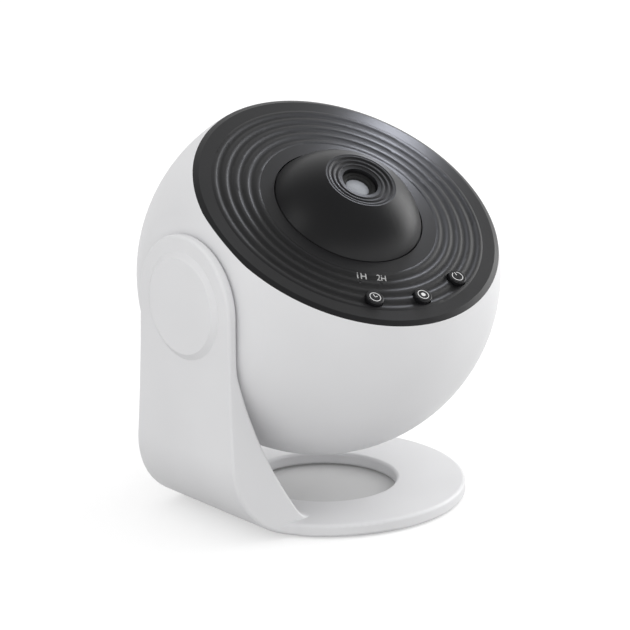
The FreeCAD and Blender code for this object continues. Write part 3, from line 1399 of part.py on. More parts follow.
    # the barrel with its lenses, and the three pins that ride in the slots
    bore = "(barrel_radius - barrel_wall)"
    rear_seat = "(rear_lens_level + rear_lens_edge)"
    rear_curve = "((rear_lens_radius^2 + rear_lens_bulge^2) / (2 * rear_lens_bulge))"
    rear_curve = rear_curve.replace("rear_lens_radius", rear_lens_radius)
    step_bore = f"({bore} - barrel_step)"
    step_level = f"({rear_seat} + sqrt({rear_curve}^2 - {step_bore}^2)" \
                 f" - sqrt({rear_curve}^2 - {rear_lens_radius}^2) + lens_ring_gap)"
    nose_bore = "(front_lens_radius + lens_gap)"
    barrel = turned("lens_barrel", [
        (bore, "barrel_foot_level"), ("barrel_radius", "barrel_foot_level"),
        ("barrel_radius", "barrel_shoulder_level"),
        ("nose_radius", "barrel_shoulder_level + barrel_shoulder_rise"),
        ("nose_radius", "nose_level"), (nose_bore, "nose_level"), (nose_bore, "front_lens_level"),
        ("lens_window_radius", "front_lens_level"), ("lens_window_radius", "barrel_shoulder_level"),
        (step_bore, f"barrel_shoulder_level - ({step_bore} - lens_window_radius)"),
        (step_bore, step_level), (bore, step_level),
    ])
    pin_hole = new_sketch(barrel, "pin_hole", "YZ_Plane")
    circle(pin_hole, "pin_radius + screw_fit / 2", "0", "pin_level")
    hole_cut = pocket(barrel, pin_hole, f"barrel_radius + {overrun}", True)
    repeat_round(barrel, hole_cut, pin_count)
    place_on_head(barrel)
    pins = []
    pin_foot = f"({step_bore} + 2 * running_gap)"
    for number in range(pin_count):
        turn = 360.0 * number / pin_count
        pin = doc.addObject("Part::Cylinder", f"focus_pin_{number + 1}")
        bind(pin, "Radius", "pin_radius")
        bind(pin, "Height", f"{guide_radius} - {pin_foot} - 4 * running_gap")
        pin.Placement = FreeCAD.Placement(
            FreeCAD.Vector(0, 0, 0),
            FreeCAD.Rotation(FreeCAD.Vector(0, 0, 1), turn) * FreeCAD.Rotation(FreeCAD.Vector(0, 1, 0), 90))
        bind(pin, "Placement.Base.x", f"{pin_foot} * cos({turn})")
        bind(pin, "Placement.Base.y", f"{pin_foot} * sin({turn})")
        bind(pin, "Placement.Base.z", "pin_level")
        pins.append(pin)
    place_on_head(group("focus_pins", pins))
    front_top = "(front_lens_level + front_lens_edge)"
    front_curve = "((front_lens_radius^2 + front_lens_bulge^2) / (2 * front_lens_bulge))"
    front = turned("front_lens", [
        ("0", "front_lens_level"), ("front_lens_radius", "front_lens_level"),
        ("front_lens_radius", front_top),
        (f"{front_curve} * sin(10)",
         f"{front_top} + front_lens_bulge - {front_curve} * (1 - cos(10))", "via"),
        ("0", f"{front_top} + front_lens_bulge"),
    ])
    place_on_head(front)
    retainer_foot = f"({front_top} + sqrt({front_curve}^2 - lens_window_radius^2)" \
                    f" - sqrt({front_curve}^2 - front_lens_radius^2) + lens_ring_gap)"
    retainer_top = "(nose_level - lens_ring_sunk)"
    retainer = turned("front_lens_ring", [
        ("lens_window_radius", retainer_foot), (f"{nose_bore} - screw_fit", retainer_foot),
        (f"{nose_bore} - screw_fit", retainer_top), ("lens_window_radius + lens_ring_bevel", retainer_top),
        ("lens_window_radius", f"{retainer_top} - lens_ring_bevel"),
    ])
    place_on_head(retainer)
    rear = turned("rear_lens", [
        ("0", "rear_lens_level"), (rear_lens_radius, "rear_lens_level"), (rear_lens_radius, rear_seat),
        (f"{rear_curve} * sin(17)", f"{rear_seat} + rear_lens_bulge - {rear_curve} * (1 - cos(17))", "via"),
        ("0", f"{rear_seat} + rear_lens_bulge"),
    ])
    place_on_head(rear)
    rear_ring = turned("rear_lens_ring", [
        (step_bore, "barrel_foot_level"), (f"{bore} - screw_fit", "barrel_foot_level"),
        (f"{bore} - screw_fit", "rear_lens_level"), (step_bore, "rear_lens_level"),
    ])
    place_on_head(rear_ring)


# ---------------------------------------------------------------- the boards
def add_main_board():
    body = new_body("main_board")
    spots = corner_spots("main_board_boss_across", "main_board_boss_along")
    board = new_sketch(body, "main_board_outline", "XY_Plane", "main_board_level")
    rectangle(board, "0 - main_board_half_length", "main_board_half_length",
              "0 - main_board_half_width", "main_board_half_width")
    pad(body, board, "board_thickness")
    top = "(main_board_level + board_thickness)"
    drill(body, "main_board_holes", top, "board_thickness", screw_bore, spots)
    place_on_head(body)
    parts = [
        block("controller_chip", "chip_length", "chip_length", "chip_height", "chip_across", "0", top),
        block("motor_plug", "plug_length", "plug_depth", "plug_depth", "0 - plug_across",
              "0 - plug_along", top),
        block("lamp_plug", "plug_length", "plug_depth", "plug_depth", "plug_across",
              "0 - plug_along", top),
        block("switch_plug", "switch_plug_length", "plug_depth", "plug_depth", "0", "plug_along", top),
        rod("buffer_capacitor", "capacitor_radius", "capacitor_height", "capacitor_across", "0", top),
        rod("choke", "choke_radius", "choke_height", "choke_across", "0", top),
    ]
    place_on_head(group("main_board_parts", parts))
    place_on_head(screws("main_board_screws", spots, top, "board_thickness + board_screw_hold",
                         False))


def add_power_socket():
    board = new_body("power_board")
    board_front = "(port_face - port_board_setback)"
    plan = new_sketch(board, "power_board_outline", "XY_Plane", port_board_foot)
    rectangle(plan, "0 - port_board_half_width", "port_board_half_width",
              f"{board_front} - port_board_length", board_front)
    pad(board, plan, "board_thickness")
    place_level(board)
    socket = new_body("usb_socket")
    sleeve = new_sketch(socket, "socket_sleeve", "XZ_Plane", "0 - port_face")
    stadium(sleeve, "port_width", "port_height")
    pad(socket, sleeve, "port_length")
    mouth = new_sketch(socket, "socket_mouth", "XZ_Plane", "0 - port_face")
    stadium(mouth, "port_width - 2 * port_wall", "port_height - 2 * port_wall")
    pocket(socket, mouth, "port_length - port_back_wall")
    tongue = new_sketch(socket, "socket_tongue", "XZ_Plane",
                        "0 - port_face + port_length - port_back_wall / 2")
    rectangle(tongue, "0 - tongue_half_width", "tongue_half_width",
              "0 - tongue_half_height", "tongue_half_height")
    pad(socket, tongue, "tongue_length", True)
    place_level(socket)


# ---------------------------------------------------------------- build and write
shaft_bore = "(shaft_radius + running_gap)"
screw_bore = "(screw_radius + screw_fit)"
friction_seat_depth = "(friction_washer_depth - arm_gap)"
hub_floor = f"(hub_pocket_depth - arm_outer)"
shaft_end = f"({hub_floor} - spring_washer_depth)"
pivot_pad_face = "(pivot_pad_depth - side_flat)"
pivot_screw_bore = "(pivot_screw_radius + screw_fit)"
pivot_screw_spots = ring_spots("(shaft_flange_radius - screw_head_radius - flange_margin)", 3, 90)
panel_under_inner = f"({dome_foot_level} - panel_wall)"
panel_under_outer = f"({bevel_level} - panel_wall)"
board_boss_spots = [(f"{side} * button_orbit * sin(button_spread / 2)",
                     "0 - button_orbit * cos(button_spread / 2)") for side in (-1, 1)]
button_spots = [(name, (f"button_orbit * sin({side} * button_spread)",
                        f"(0 - button_orbit * cos({side} * button_spread))"))
                for name, side in (("timer", -1), ("mode", 0), ("power", 1))]
indicator_spots = [("first_indicator_across", "first_indicator_along"),
                   ("second_indicator_across", "second_indicator_along")]
motor_screw_spots = [(f"{side} * motor_ear_reach", "drive_reach") for side in (-1, 1)]
lamp_screw_spots = ring_spots("lamp_ear_orbit", 3, 30)
sink_screw_spots = corner_spots("sink_screw_reach", "sink_screw_reach")
shaft_fit = "(motor_shaft_radius + running_gap)"
pinion_foot = f"({deck_top} + pinion_lift)"
pinion_top = f"({pinion_foot} + pinion_height)"
rear_lens_radius = "(barrel_radius - barrel_wall - lens_gap)"

bracket = add_stand_bracket()
add_pivot_seats(bracket)
add_base_pad()
add_hub()
add_body_shell()
add_top_panel()
add_buttons()
add_button_board()
add_optics_deck()
add_motor()
add_disc_drive()
add_lamp()
add_lens_unit()
add_main_board()
add_power_socket()
doc.recompute()

for thing in doc.Objects:
    if "Invalid" in thing.State or "Error" in thing.State:
        raise RuntimeError("failed: " + thing.Name)
for piece in pieces:
    if piece.Shape.isNull() or not piece.Shape.isValid():
        raise RuntimeError("bad shape: " + piece.Label)

os.makedirs("parts", exist_ok=True)
for piece in pieces:
    piece.Shape.exportStep("parts/" + piece.Label + ".step")
    print(piece.Label, len(piece.Shape.Solids), round(piece.Shape.Volume, 1))
print(len(pieces), "pieces")
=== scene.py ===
import bmesh
import bpy
import json
import math
from mathutils import Matrix, Vector
from mathutils.bvhtree import BVHTree


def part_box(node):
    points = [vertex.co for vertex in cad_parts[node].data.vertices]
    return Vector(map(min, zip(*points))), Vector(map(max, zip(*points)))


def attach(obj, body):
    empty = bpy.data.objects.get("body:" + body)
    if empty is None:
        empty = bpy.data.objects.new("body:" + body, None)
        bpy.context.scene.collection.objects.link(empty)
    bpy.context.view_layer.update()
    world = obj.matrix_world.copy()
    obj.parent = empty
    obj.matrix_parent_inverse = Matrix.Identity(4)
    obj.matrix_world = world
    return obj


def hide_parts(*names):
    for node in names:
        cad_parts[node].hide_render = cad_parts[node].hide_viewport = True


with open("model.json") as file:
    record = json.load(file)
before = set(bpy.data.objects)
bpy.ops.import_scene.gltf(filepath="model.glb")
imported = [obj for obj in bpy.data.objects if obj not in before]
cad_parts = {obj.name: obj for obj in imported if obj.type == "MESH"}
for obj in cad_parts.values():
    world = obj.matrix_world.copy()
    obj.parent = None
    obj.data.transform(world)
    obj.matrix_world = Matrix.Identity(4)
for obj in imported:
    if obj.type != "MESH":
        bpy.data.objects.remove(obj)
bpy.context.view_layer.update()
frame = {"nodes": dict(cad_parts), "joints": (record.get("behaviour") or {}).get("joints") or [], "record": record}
nodes = frame["nodes"]
joints = {joint["name"]: joint for joint in frame["joints"]}
scene = bpy.context.scene
mm = 0.001
white = (1, 1, 1, 1)

# the head's own axes: across is the pivot's line, beam points out of the lens
ballMiddle = Vector(joints["head_tilt"]["pos_m"])
across = Vector(joints["head_tilt"]["axis"])
beam = Vector(joints["lens_unit_lift"]["axis"])
upPanel = beam.cross(across)
headTurn = Matrix((across, upPanel, beam)).transposed().to_4x4()
toHead = Matrix.Translation(ballMiddle) @ headTurn
print("frame loaded,", len(nodes), "nodes")


def aimAt(thing, target):
    # turns a lamp or the camera from where it stands towards a point
    thing.rotation_euler = (target - thing.location).to_track_quat("-Z", "Y").to_euler()


# degrees, metres and pixels; ballPixelX and ballPixelY are where the ball's middle lies
view = {"azimuth": -39.94, "elevation": 17.09, "distance": 1.66874, "focalPixels": 4500.0,
        "imageSize": 630.0, "ballPixelX": 318.6, "ballPixelY": 272.6, "sensor": 36.0,
        "clipStart": 0.05}


def addCamera():
    turn = math.radians(view["azimuth"])
    rise = math.radians(view["elevation"])
    right = Vector((math.cos(turn), math.sin(turn), 0))
    upward = Vector((-math.sin(turn) * math.sin(rise), math.cos(turn) * math.sin(rise),
                     math.cos(rise)))
    towards = Vector((math.sin(turn) * math.cos(rise), -math.cos(turn) * math.cos(rise),
                      math.sin(rise)))
    # aim at what lies in the middle of the frame, beside the ball's middle
    perPixel = view["distance"] / view["focalPixels"]
    half = view["imageSize"] / 2
    aim = (ballMiddle + right * (half - view["ballPixelX"]) * perPixel
           - upward * (half - view["ballPixelY"]) * perPixel)
    data = bpy.data.cameras.new("camera")
    data.sensor_width = view["sensor"]
    data.lens = view["focalPixels"] / view["imageSize"] * view["sensor"]
    data.clip_start = view["clipStart"]
    camera = bpy.data.objects.new("camera", data)
    camera.location = ballMiddle + towards * view["distance"]
    aimAt(camera, aim)
    scene.collection.objects.link(camera)
    scene.camera = camera


def newMaterial(name):
    material = bpy.data.materials.new(name)
    material.use_nodes = True
    tree = material.node_tree
    tree.nodes.clear()
    output = tree.nodes.new("ShaderNodeOutputMaterial")
    return material, tree, output


def link(tree, start, outlet, end, inlet):
    tree.links.new(start.outputs[outlet], end.inputs[inlet])


# where a Mix node keeps its two numbers, its two colours and the mixed colour
mixSockets = {"numbers": (2, 3), "colours": (6, 7), "mixedColour": 2}


def blended(tree, mask, outlet, low, high):
    # a number between low and high; either may be a node's first output
    mix = tree.nodes.new("ShaderNodeMix")
    mix.data_type = "FLOAT"
    tree.links.new(mask.outputs[outlet], mix.inputs[0])
    for socket, end in zip(mixSockets["numbers"], (low, high)):
        if isinstance(end, (int, float)):
            mix.inputs[socket].default_value = end
        else:
            tree.links.new(end.outputs[0], mix.inputs[socket])
    return mix


def spread(tree, mask, outlet, low, high, start=0.0, end=1.0):
    # brings a mask that runs from start to end to the range from low to high
    ramp = tree.nodes.new("ShaderNodeMapRange")
    ramp.inputs["From Min"].default_value = start
    ramp.inputs["From Max"].default_value = end
    ramp.inputs["To Min"].default_value = low
    ramp.inputs["To Max"].default_value = high
    link(tree, mask, outlet, ramp, "Value")
    return ramp


def seenDirectly(tree):
    # all of a ray's kinds, and 1 for rays from the camera and through glass
    rays = tree.nodes.new("ShaderNodeLightPath")
    direct = tree.nodes.new("ShaderNodeMath")
    direct.operation = "MAXIMUM"
    link(tree, rays, "Is Camera Ray", direct, 0)
    link(tree, rays, "Is Transmission Ray", direct, 1)
    return rays, direct


# strengths of the world's light; backdrop points to where reflections find it brightest
studio = {"ambient": 0.9, "white": 1.0, "mirrorBack": 1.0, "mirrorFront": 0.12,
          "backdrop": (0.61, 0.73, 0.30), "backdropEdge": 0.45}


def addWorld():
    # white where it is looked at; reflections darken from the backdrop to the camera's side
    world = bpy.data.worlds.new("studio")
    scene.world = world
    world.use_nodes = True
    tree = world.node_tree
    tree.nodes.clear()
    output = tree.nodes.new("ShaderNodeOutputWorld")
    sky = tree.nodes.new("ShaderNodeBackground")
    sky.inputs["Color"].default_value = white
    place = tree.nodes.new("ShaderNodeTexCoord")
    facing = tree.nodes.new("ShaderNodeVectorMath")
    facing.operation = "DOT_PRODUCT"
    facing.inputs[1].default_value = studio["backdrop"]
    link(tree, place, "Generated", facing, 0)
    mirrored = spread(tree, facing, "Value", studio["mirrorFront"], studio["mirrorBack"],
                      start=studio["backdropEdge"])
    rays, direct = seenDirectly(tree)
    unseen = blended(tree, rays, "Is Glossy Ray", studio["ambient"], mirrored)
    link(tree, blended(tree, direct, 0, unseen, studio["white"]), 0, sky, "Strength")
    link(tree, sky, 0, output, "Surface")


table = {"half": 3.0, "lift": 0.5, "colour": (0.55, 0.55, 0.55, 1), "holeMiddle": (0.0026, 0, 0),
         "holeEdge": (0.034, 0.045), "holeLift": 0.08}


def addFloor():
    # a pale table whose lit parts read as the white background, but not in the base's hole
    mesh = bpy.data.meshes.new("table")
    shape = bmesh.new()
    bmesh.ops.create_grid(shape, x_segments=1, y_segments=1, size=table["half"])
    shape.to_mesh(mesh)
    shape.free()
    floor = bpy.data.objects.new("table", mesh)
    scene.collection.objects.link(floor)
    material, tree, output = newMaterial("tableTop")
    surface = tree.nodes.new("ShaderNodeBsdfDiffuse")
    surface.inputs["Color"].default_value = table["colour"]
    glow = tree.nodes.new("ShaderNodeEmission")
    glow.inputs["Color"].default_value = white
    place = tree.nodes.new("ShaderNodeTexCoord")
    away = tree.nodes.new("ShaderNodeVectorMath")
    away.operation = "DISTANCE"
    away.inputs[1].default_value = table["holeMiddle"]
    link(tree, place, "Object", away, 0)
    lift = spread(tree, away, "Value", table["holeLift"], table["lift"], *table["holeEdge"])
    rays, direct = seenDirectly(tree)
    seen = tree.nodes.new("ShaderNodeMath")
    seen.operation = "MAXIMUM"
    link(tree, direct, 0, seen, 0)
    link(tree, rays, "Is Glossy Ray", seen, 1)
    link(tree, blended(tree, seen, 0, 0.0, lift), 0, glow, "Strength")
    both = tree.nodes.new("ShaderNodeAddShader")
    link(tree, surface, 0, both, 0)
    link(tree, glow, 0, both, 1)
    link(tree, both, 0, output, "Surface")
    floor.data.materials.append(material)


softboxes = {
    "rightSoftbox": {"place": (1.3, -0.2, 0.5), "size": (0.8, 1.0), "power": 8.0, "inGloss": True},
    "highSoftbox": {"place": (1.0, -0.5, 1.4), "size": (0.9, 0.9), "power": 4.5, "inGloss": False},
    "leftFill": {"place": (-1.1, -1.2, 0.7), "size": (1.0, 1.0), "power": 4.0, "inGloss": False},
    "armLight": {"place": (-1.5, 0.3, 0.8), "size": (0.8, 0.8), "power": 2.4, "inGloss": True}}
# a small card near the panel's far side, seen only in the gloss of the nodes that it lights
hazeCard = {"aim": (0.042, 0.028, 0.031), "towards": (0.61, 0.10, 0.78), "away": 0.055,
            "size": 0.026, "power": 0.034, "colour": (0.86, 0.89, 1.0),
            "receivers": ("top_panel", "focus_dome")}


def addLights():
    for name, box in softboxes.items():
        data = bpy.data.lights.new(name, "AREA")
        data.shape = "RECTANGLE"
        data.size, data.size_y = box["size"]
        data.energy = box["power"]
        lamp = bpy.data.objects.new(name, data)
        lamp.location = box["place"]
        lamp.visible_glossy = box["inGloss"]
        aimAt(lamp, ballMiddle)
        scene.collection.objects.link(lamp)
    data = bpy.data.lights.new("hazeCard", "AREA")
    data.size = hazeCard["size"]
    data.energy = hazeCard["power"]
    data.color = hazeCard["colour"]
    lamp = bpy.data.objects.new("hazeCard", data)
    aim = toHead @ Vector(hazeCard["aim"])
    lamp.location = aim + Vector(hazeCard["towards"]).normalized() * hazeCard["away"]
    aimAt(lamp, aim)
    lamp.visible_camera = False
    lamp.visible_diffuse = False
    lit = bpy.data.collections.new("hazeReceivers")
    for name in hazeCard["receivers"]:
        lit.objects.link(nodes[name])
    lamp.light_linking.receiver_collection = lit
    scene.collection.objects.link(lamp)


def newGroup(name, inlets, outlets):
    # a node group for surface detail that several finishes share
    group = bpy.data.node_groups.new(name, "ShaderNodeTree")
    for label, start in inlets.items():
        socket = group.interface.new_socket(label, in_out="INPUT", socket_type="NodeSocketFloat")
        socket.default_value = start
    for label in outlets:
        group.interface.new_socket(label, in_out="OUTPUT", socket_type="NodeSocketFloat")
    return group, group.nodes.new("NodeGroupInput"), group.nodes.new("NodeGroupOutput")


def useGroup(tree, group, numbers):
    placed = tree.nodes.new("ShaderNodeGroup")
    placed.node_tree = group
    for label, number in numbers.items():
        placed.inputs[label].default_value = number
    return placed


# sizes of the patterns are in repeats per metre, depths in metres
mould = {"grainSize": 900.0, "grainDetail": 3.0, "grainRoughness": 0.6, "driftSize": 25.0,
         "driftDetail": 1.0, "roughnessSpread": 0.05, "bump": 0.35}


def makeMouldGrain():
    # spark-eroded mould texture: fine bumps in Height, slow drift in Drift
    group, start, end = newGroup("mouldGrain", {"Grain Size": mould["grainSize"],
                                                "Drift Size": mould["driftSize"]},
                                 ["Height", "Drift"])
    place = group.nodes.new("ShaderNodeTexCoord")
    fine = group.nodes.new("ShaderNodeTexNoise")
    fine.inputs["Detail"].default_value = mould["grainDetail"]
    fine.inputs["Roughness"].default_value = mould["grainRoughness"]
    slow = group.nodes.new("ShaderNodeTexNoise")
    slow.inputs["Detail"].default_value = mould["driftDetail"]
    for texture, label in ((fine, "Grain Size"), (slow, "Drift Size")):
        link(group, place, "Object", texture, "Vector")
        link(group, start, label, texture, "Scale")
    link(group, fine, "Fac", end, "Height")
    link(group, slow, "Fac", end, "Drift")
    return group


brush = {"fineness": 1500.0, "stretch": (1.0, 1.0, 0.04), "detail": 4.0, "roughness": 0.7,
         "roughnessSpread": 0.08, "bump": 0.2, "depth": 0.01 * mm}


def makeBrushMarks():
    # long fine scratches across one axis, as on rolled or turned metal
    group, start, end = newGroup("brushMarks", {"Fineness": brush["fineness"]},
                                 ["Height", "Streak"])
    place = group.nodes.new("ShaderNodeTexCoord")
    stretch = group.nodes.new("ShaderNodeMapping")
    stretch.inputs["Scale"].default_value = brush["stretch"]
    streak = group.nodes.new("ShaderNodeTexNoise")
    streak.inputs["Detail"].default_value = brush["detail"]
    streak.inputs["Roughness"].default_value = brush["roughness"]
    link(group, place, "Object", stretch, "Vector")
    link(group, stretch, "Vector", streak, "Vector")
    link(group, start, "Fineness", streak, "Scale")
    link(group, streak, "Fac", end, "Height")
    link(group, streak, "Fac", end, "Streak")
    return group


# the ripples' radii about the beam, on the panel and in the dome's crater
panelRings = {"First Crest": 0.0352, "Pitch": 0.0041, "Last Crest": 0.0516}
domeRings = {"First Crest": 0.0078, "Pitch": 0.0019, "Last Crest": 0.0136}


def makeRippleShade():
    # rings about the beam: Hollow is 1 at the bottom of each ripple and 0 on its crest; it masks the painted shade
    # in the hollows
    group, start, end = newGroup("rippleShade", panelRings, ["Hollow"])
    place = group.nodes.new("ShaderNodeTexCoord")
    onHead = group.nodes.new("ShaderNodeMapping")
    onHead.vector_type = "TEXTURE"
    onHead.inputs["Location"].default_value = ballMiddle
    onHead.inputs["Rotation"].default_value = headTurn.to_euler()
    flat = group.nodes.new("ShaderNodeVectorMath")
    flat.operation = "MULTIPLY"
    flat.inputs[1].default_value = (1, 1, 0)
    reach = group.nodes.new("ShaderNodeVectorMath")
    reach.operation = "LENGTH"
    link(group, place, "Object", onHead, "Vector")
    link(group, onHead, "Vector", flat, 0)
    link(group, flat, 0, reach, 0)

    def worked(operation, *values):
        step = group.nodes.new("ShaderNodeMath")
        step.operation = operation
        for socket, value in zip(step.inputs, values):
            if isinstance(value, (int, float)):
                socket.default_value = value
            else:
                group.links.new(value, socket)
        return step.outputs[0]

    radius = reach.outputs["Value"]
    first, last = start.outputs["First Crest"], start.outputs["Last Crest"]
    turns = worked("DIVIDE", worked("SUBTRACT", radius, first), start.outputs["Pitch"])
    wave = worked("COSINE", worked("MULTIPLY", turns, 2 * math.pi))
    hollow = worked("POWER", worked("MULTIPLY_ADD", wave, -0.5, 0.5), 2.0)  # crests stay wide
    rippled = worked("MULTIPLY", worked("LESS_THAN", radius, last),
                     worked("GREATER_THAN", radius, first))
    group.links.new(worked("MULTIPLY", hollow, rippled), end.inputs["Hollow"])
    return group


mouldGrain = makeMouldGrain()
rippleShade = makeRippleShade()
brushMarks = makeBrushMarks()
print("shared surface detail is made")

tintBand = (0.3, 0.7)  # the part of a noise over which a colour turns from dark to light


def tinted(tree, mask, outlet, dark, light):
    ramp = tree.nodes.new("ShaderNodeValToRGB")
    for element, position, colour in zip(ramp.color_ramp.elements, tintBand, (dark, light)):
        element.position = position
        element.color = (*colour, 1)
    link(tree, mask, outlet, ramp, "Fac")
    return ramp


def addBump(tree, detail, surface, strength, depth):
    bump = tree.nodes.new("ShaderNodeBump")
    bump.inputs["Strength"].default_value = strength
    bump.inputs["Distance"].default_value = depth
    link(tree, detail, "Height", bump, "Height")
    link(tree, bump, "Normal", surface, "Normal")


def surfaceOf(tree):
    return next(node for node in tree.nodes if node.type == "BSDF_PRINCIPLED")


def layOver(tree, mask, outlet, colour, way="MIX"):
    # lays one more colour over a finish where the mask is 1
    surface = surfaceOf(tree)
    plain = surface.inputs["Base Color"].links[0].from_socket
    mix = tree.nodes.new("ShaderNodeMix")
    mix.data_type = "RGBA"
    mix.blend_type = way
    under, over = mixSockets["colours"]
    mix.inputs[over].default_value = (*colour, 1)
    tree.links.new(plain, mix.inputs[under])
    link(tree, mask, outlet, mix, 0)
    link(tree, mix, mixSockets["mixedColour"], surface, "Base Color")


def mouldedPlastic(name, dark, light, roughness, grainSize=mould["grainSize"], depth=0.02 * mm):
    material, tree, output = newMaterial(name)
    surface = tree.nodes.new("ShaderNodeBsdfPrincipled")
    grain = useGroup(tree, mouldGrain, {"Grain Size": grainSize})
    link(tree, tinted(tree, grain, "Drift", dark, light), "Color", surface, "Base Color")
    uneven = spread(tree, grain, "Height", roughness - mould["roughnessSpread"],
                    roughness + mould["roughnessSpread"])
    link(tree, uneven, 0, surface, "Roughness")
    addBump(tree, grain, surface, mould["bump"], depth)
    link(tree, surface, "BSDF", output, "Surface")
    return material


def rippledPlastic(name, dark, light, roughness, rings, paintedHollowShade=0.45, hollowRoughness=0.2,
                   specular=0.5):
    # black moulded plastic; painted shade darkens its ripples' hollows, which are also rougher than the crests
    material = mouldedPlastic(name, dark, light, roughness)
    tree = material.node_tree
    surface = surfaceOf(tree)
    surface.inputs["Specular IOR Level"].default_value = specular
    ripples = useGroup(tree, rippleShade, rings)
    # painted shade: the base colour is multiplied darker towards the bottom of each ripple
    layOver(tree, ripples, "Hollow", (paintedHollowShade, paintedHollowShade, paintedHollowShade), "MULTIPLY")
    plain = surface.inputs["Roughness"].links[0].from_socket
    rougher = tree.nodes.new("ShaderNodeMath")
    rougher.operation = "MULTIPLY_ADD"
    rougher.inputs[1].default_value = hollowRoughness
    link(tree, ripples, "Hollow", rougher, 0)
    tree.links.new(plain, rougher.inputs[2])
    link(tree, rougher, 0, surface, "Roughness")
    return material


def workedMetal(name, dark, light, roughness, fineness=brush["fineness"]):
    material, tree, output = newMaterial(name)
    surface = tree.nodes.new("ShaderNodeBsdfPrincipled")
    surface.inputs["Metallic"].default_value = 1.0
    marks = useGroup(tree, brushMarks, {"Fineness": fineness})
    link(tree, tinted(tree, marks, "Streak", dark, light), "Color", surface, "Base Color")
    uneven = spread(tree, marks, "Streak", roughness - brush["roughnessSpread"],
                    roughness + brush["roughnessSpread"])
    link(tree, uneven, 0, surface, "Roughness")
    addBump(tree, marks, surface, brush["bump"], brush["depth"])
    link(tree, surface, "BSDF", output, "Surface")
    return material


# dots strewn over the film, cells per metre: size is a share of a cell, core of it is quite clear
stars = {"cells": 650.0, "size": 0.16, "core": 0.7, "colour": (0.7, 0.75, 0.85)}


def printedFilm(name, dark, light, roughness, grainSize):
    material = mouldedPlastic(name, dark, light, roughness, grainSize)
    tree = material.node_tree
    place = tree.nodes.new("ShaderNodeTexCoord")
    cells = tree.nodes.new("ShaderNodeTexVoronoi")
    cells.inputs["Scale"].default_value = stars["cells"]
    link(tree, place, "Object", cells, "Vector")
    dots = spread(tree, cells, "Distance", 0.0, 1.0, stars["size"], stars["size"] * stars["core"])
    layOver(tree, dots, 0, stars["colour"])
    return material


glass = {"refraction": 1.52, "dustSize": 3000.0, "roughnessSpread": 0.05}


def clearLens(name, tint, roughness=0.02, clearness=1.0):
    material, tree, output = newMaterial(name)
    surface = tree.nodes.new("ShaderNodeBsdfPrincipled")
    surface.inputs["Base Color"].default_value = (*tint, 1)
    surface.inputs["Transmission Weight"].default_value = clearness
    surface.inputs["IOR"].default_value = glass["refraction"]
    dust = useGroup(tree, mouldGrain, {"Grain Size": glass["dustSize"]})
    uneven = spread(tree, dust, "Height", roughness, roughness + glass["roughnessSpread"])
    link(tree, uneven, 0, surface, "Roughness")
    link(tree, surface, "BSDF", output, "Surface")
    return material


# a finish for each slot: dark and light colour, or one tint for what is clear, and roughness
finishes = {
    "white_shell": mouldedPlastic("whiteShell", (0.70, 0.70, 0.71), (0.74, 0.74, 0.75), 0.42,
                                  depth=0.015 * mm),
    "black_panel": rippledPlastic("blackPanel", (0.011, 0.011, 0.012), (0.014, 0.014, 0.015), 0.42,
                                  panelRings),
    "button_caps": mouldedPlastic("buttonCaps", (0.007, 0.007, 0.008), (0.010, 0.010, 0.011), 0.3,
                                  depth=0.004 * mm),
    "black_inner": mouldedPlastic("blackInner", (0.012, 0.012, 0.012), (0.02, 0.02, 0.02), 0.6),
    "clear_optics": clearLens("clearOptics", (0.95, 0.98, 1.0)),
    "star_film": printedFilm("starFilm", (0.01, 0.012, 0.03), (0.02, 0.03, 0.08), 0.2,
                             grainSize=400.0),
    "disc_plastic": mouldedPlastic("discPlastic", (0.05, 0.05, 0.055), (0.07, 0.07, 0.075), 0.4),
    "gear_plastic": mouldedPlastic("gearPlastic", (0.70, 0.68, 0.62), (0.76, 0.74, 0.69), 0.35),
    "foot_rubber": mouldedPlastic("footRubber", (0.16, 0.16, 0.16), (0.2, 0.2, 0.2), 0.75,
                                  grainSize=1500.0, depth=0.05 * mm),
    "steel": workedMetal("zincSteel", (0.45, 0.46, 0.47), (0.62, 0.62, 0.63), 0.3),
    "motor_metal": workedMetal("motorCan", (0.5, 0.5, 0.5), (0.6, 0.6, 0.6), 0.35,
                               fineness=800.0),
    "aluminium": workedMetal("extrudedAluminium", (0.6, 0.6, 0.61), (0.75, 0.75, 0.76), 0.4,
                             fineness=600.0),
    "circuit_board": mouldedPlastic("solderMask", (0.01, 0.09, 0.03), (0.015, 0.13, 0.05), 0.3,
                                    grainSize=2000.0),
    "board_parts": mouldedPlastic("partHousings", (0.02, 0.02, 0.02), (0.03, 0.03, 0.03), 0.45),
    "switch_plunger": mouldedPlastic("switchPlungers", (0.03, 0.03, 0.03), (0.05, 0.05, 0.05), 0.5),
    "led_resin": clearLens("ledResin", (0.9, 0.9, 0.8), 0.2, clearness=0.6),
}
# nodes whose finish differs from their slot's
ownFinishes = {
    # the dome's crater ripples carry a lighter painted shade in their hollows than the panel's
    "focus_dome": rippledPlastic("focusDome", (0.010, 0.010, 0.011), (0.013, 0.013, 0.014), 0.4,
                                 domeRings, paintedHollowShade=0.8, specular=0.4),
    "front_lens": clearLens("coatedLens", (0.48, 0.50, 0.54), 0.2, clearness=0.3),
    "indicator_light_pipes": clearLens("smokedPipe", (0.05, 0.05, 0.055), 0.15, clearness=0.5),
}
legendInk = mouldedPlastic("legendInk", (0.66, 0.66, 0.66), (0.74, 0.74, 0.74), 0.5,
                           depth=0.002 * mm)
markInk = mouldedPlastic("markInk", (0.34, 0.34, 0.34), (0.40, 0.40, 0.40), 0.5, depth=0.002 * mm)


def dressNodes():
    slots = {part["node"]: part["material_slot"] for part in frame["record"]["subparts"]}
    for name, node in nodes.items():
        node.data.materials.clear()
        node.data.materials.append(ownFinishes.get(name, finishes[slots[name]]))


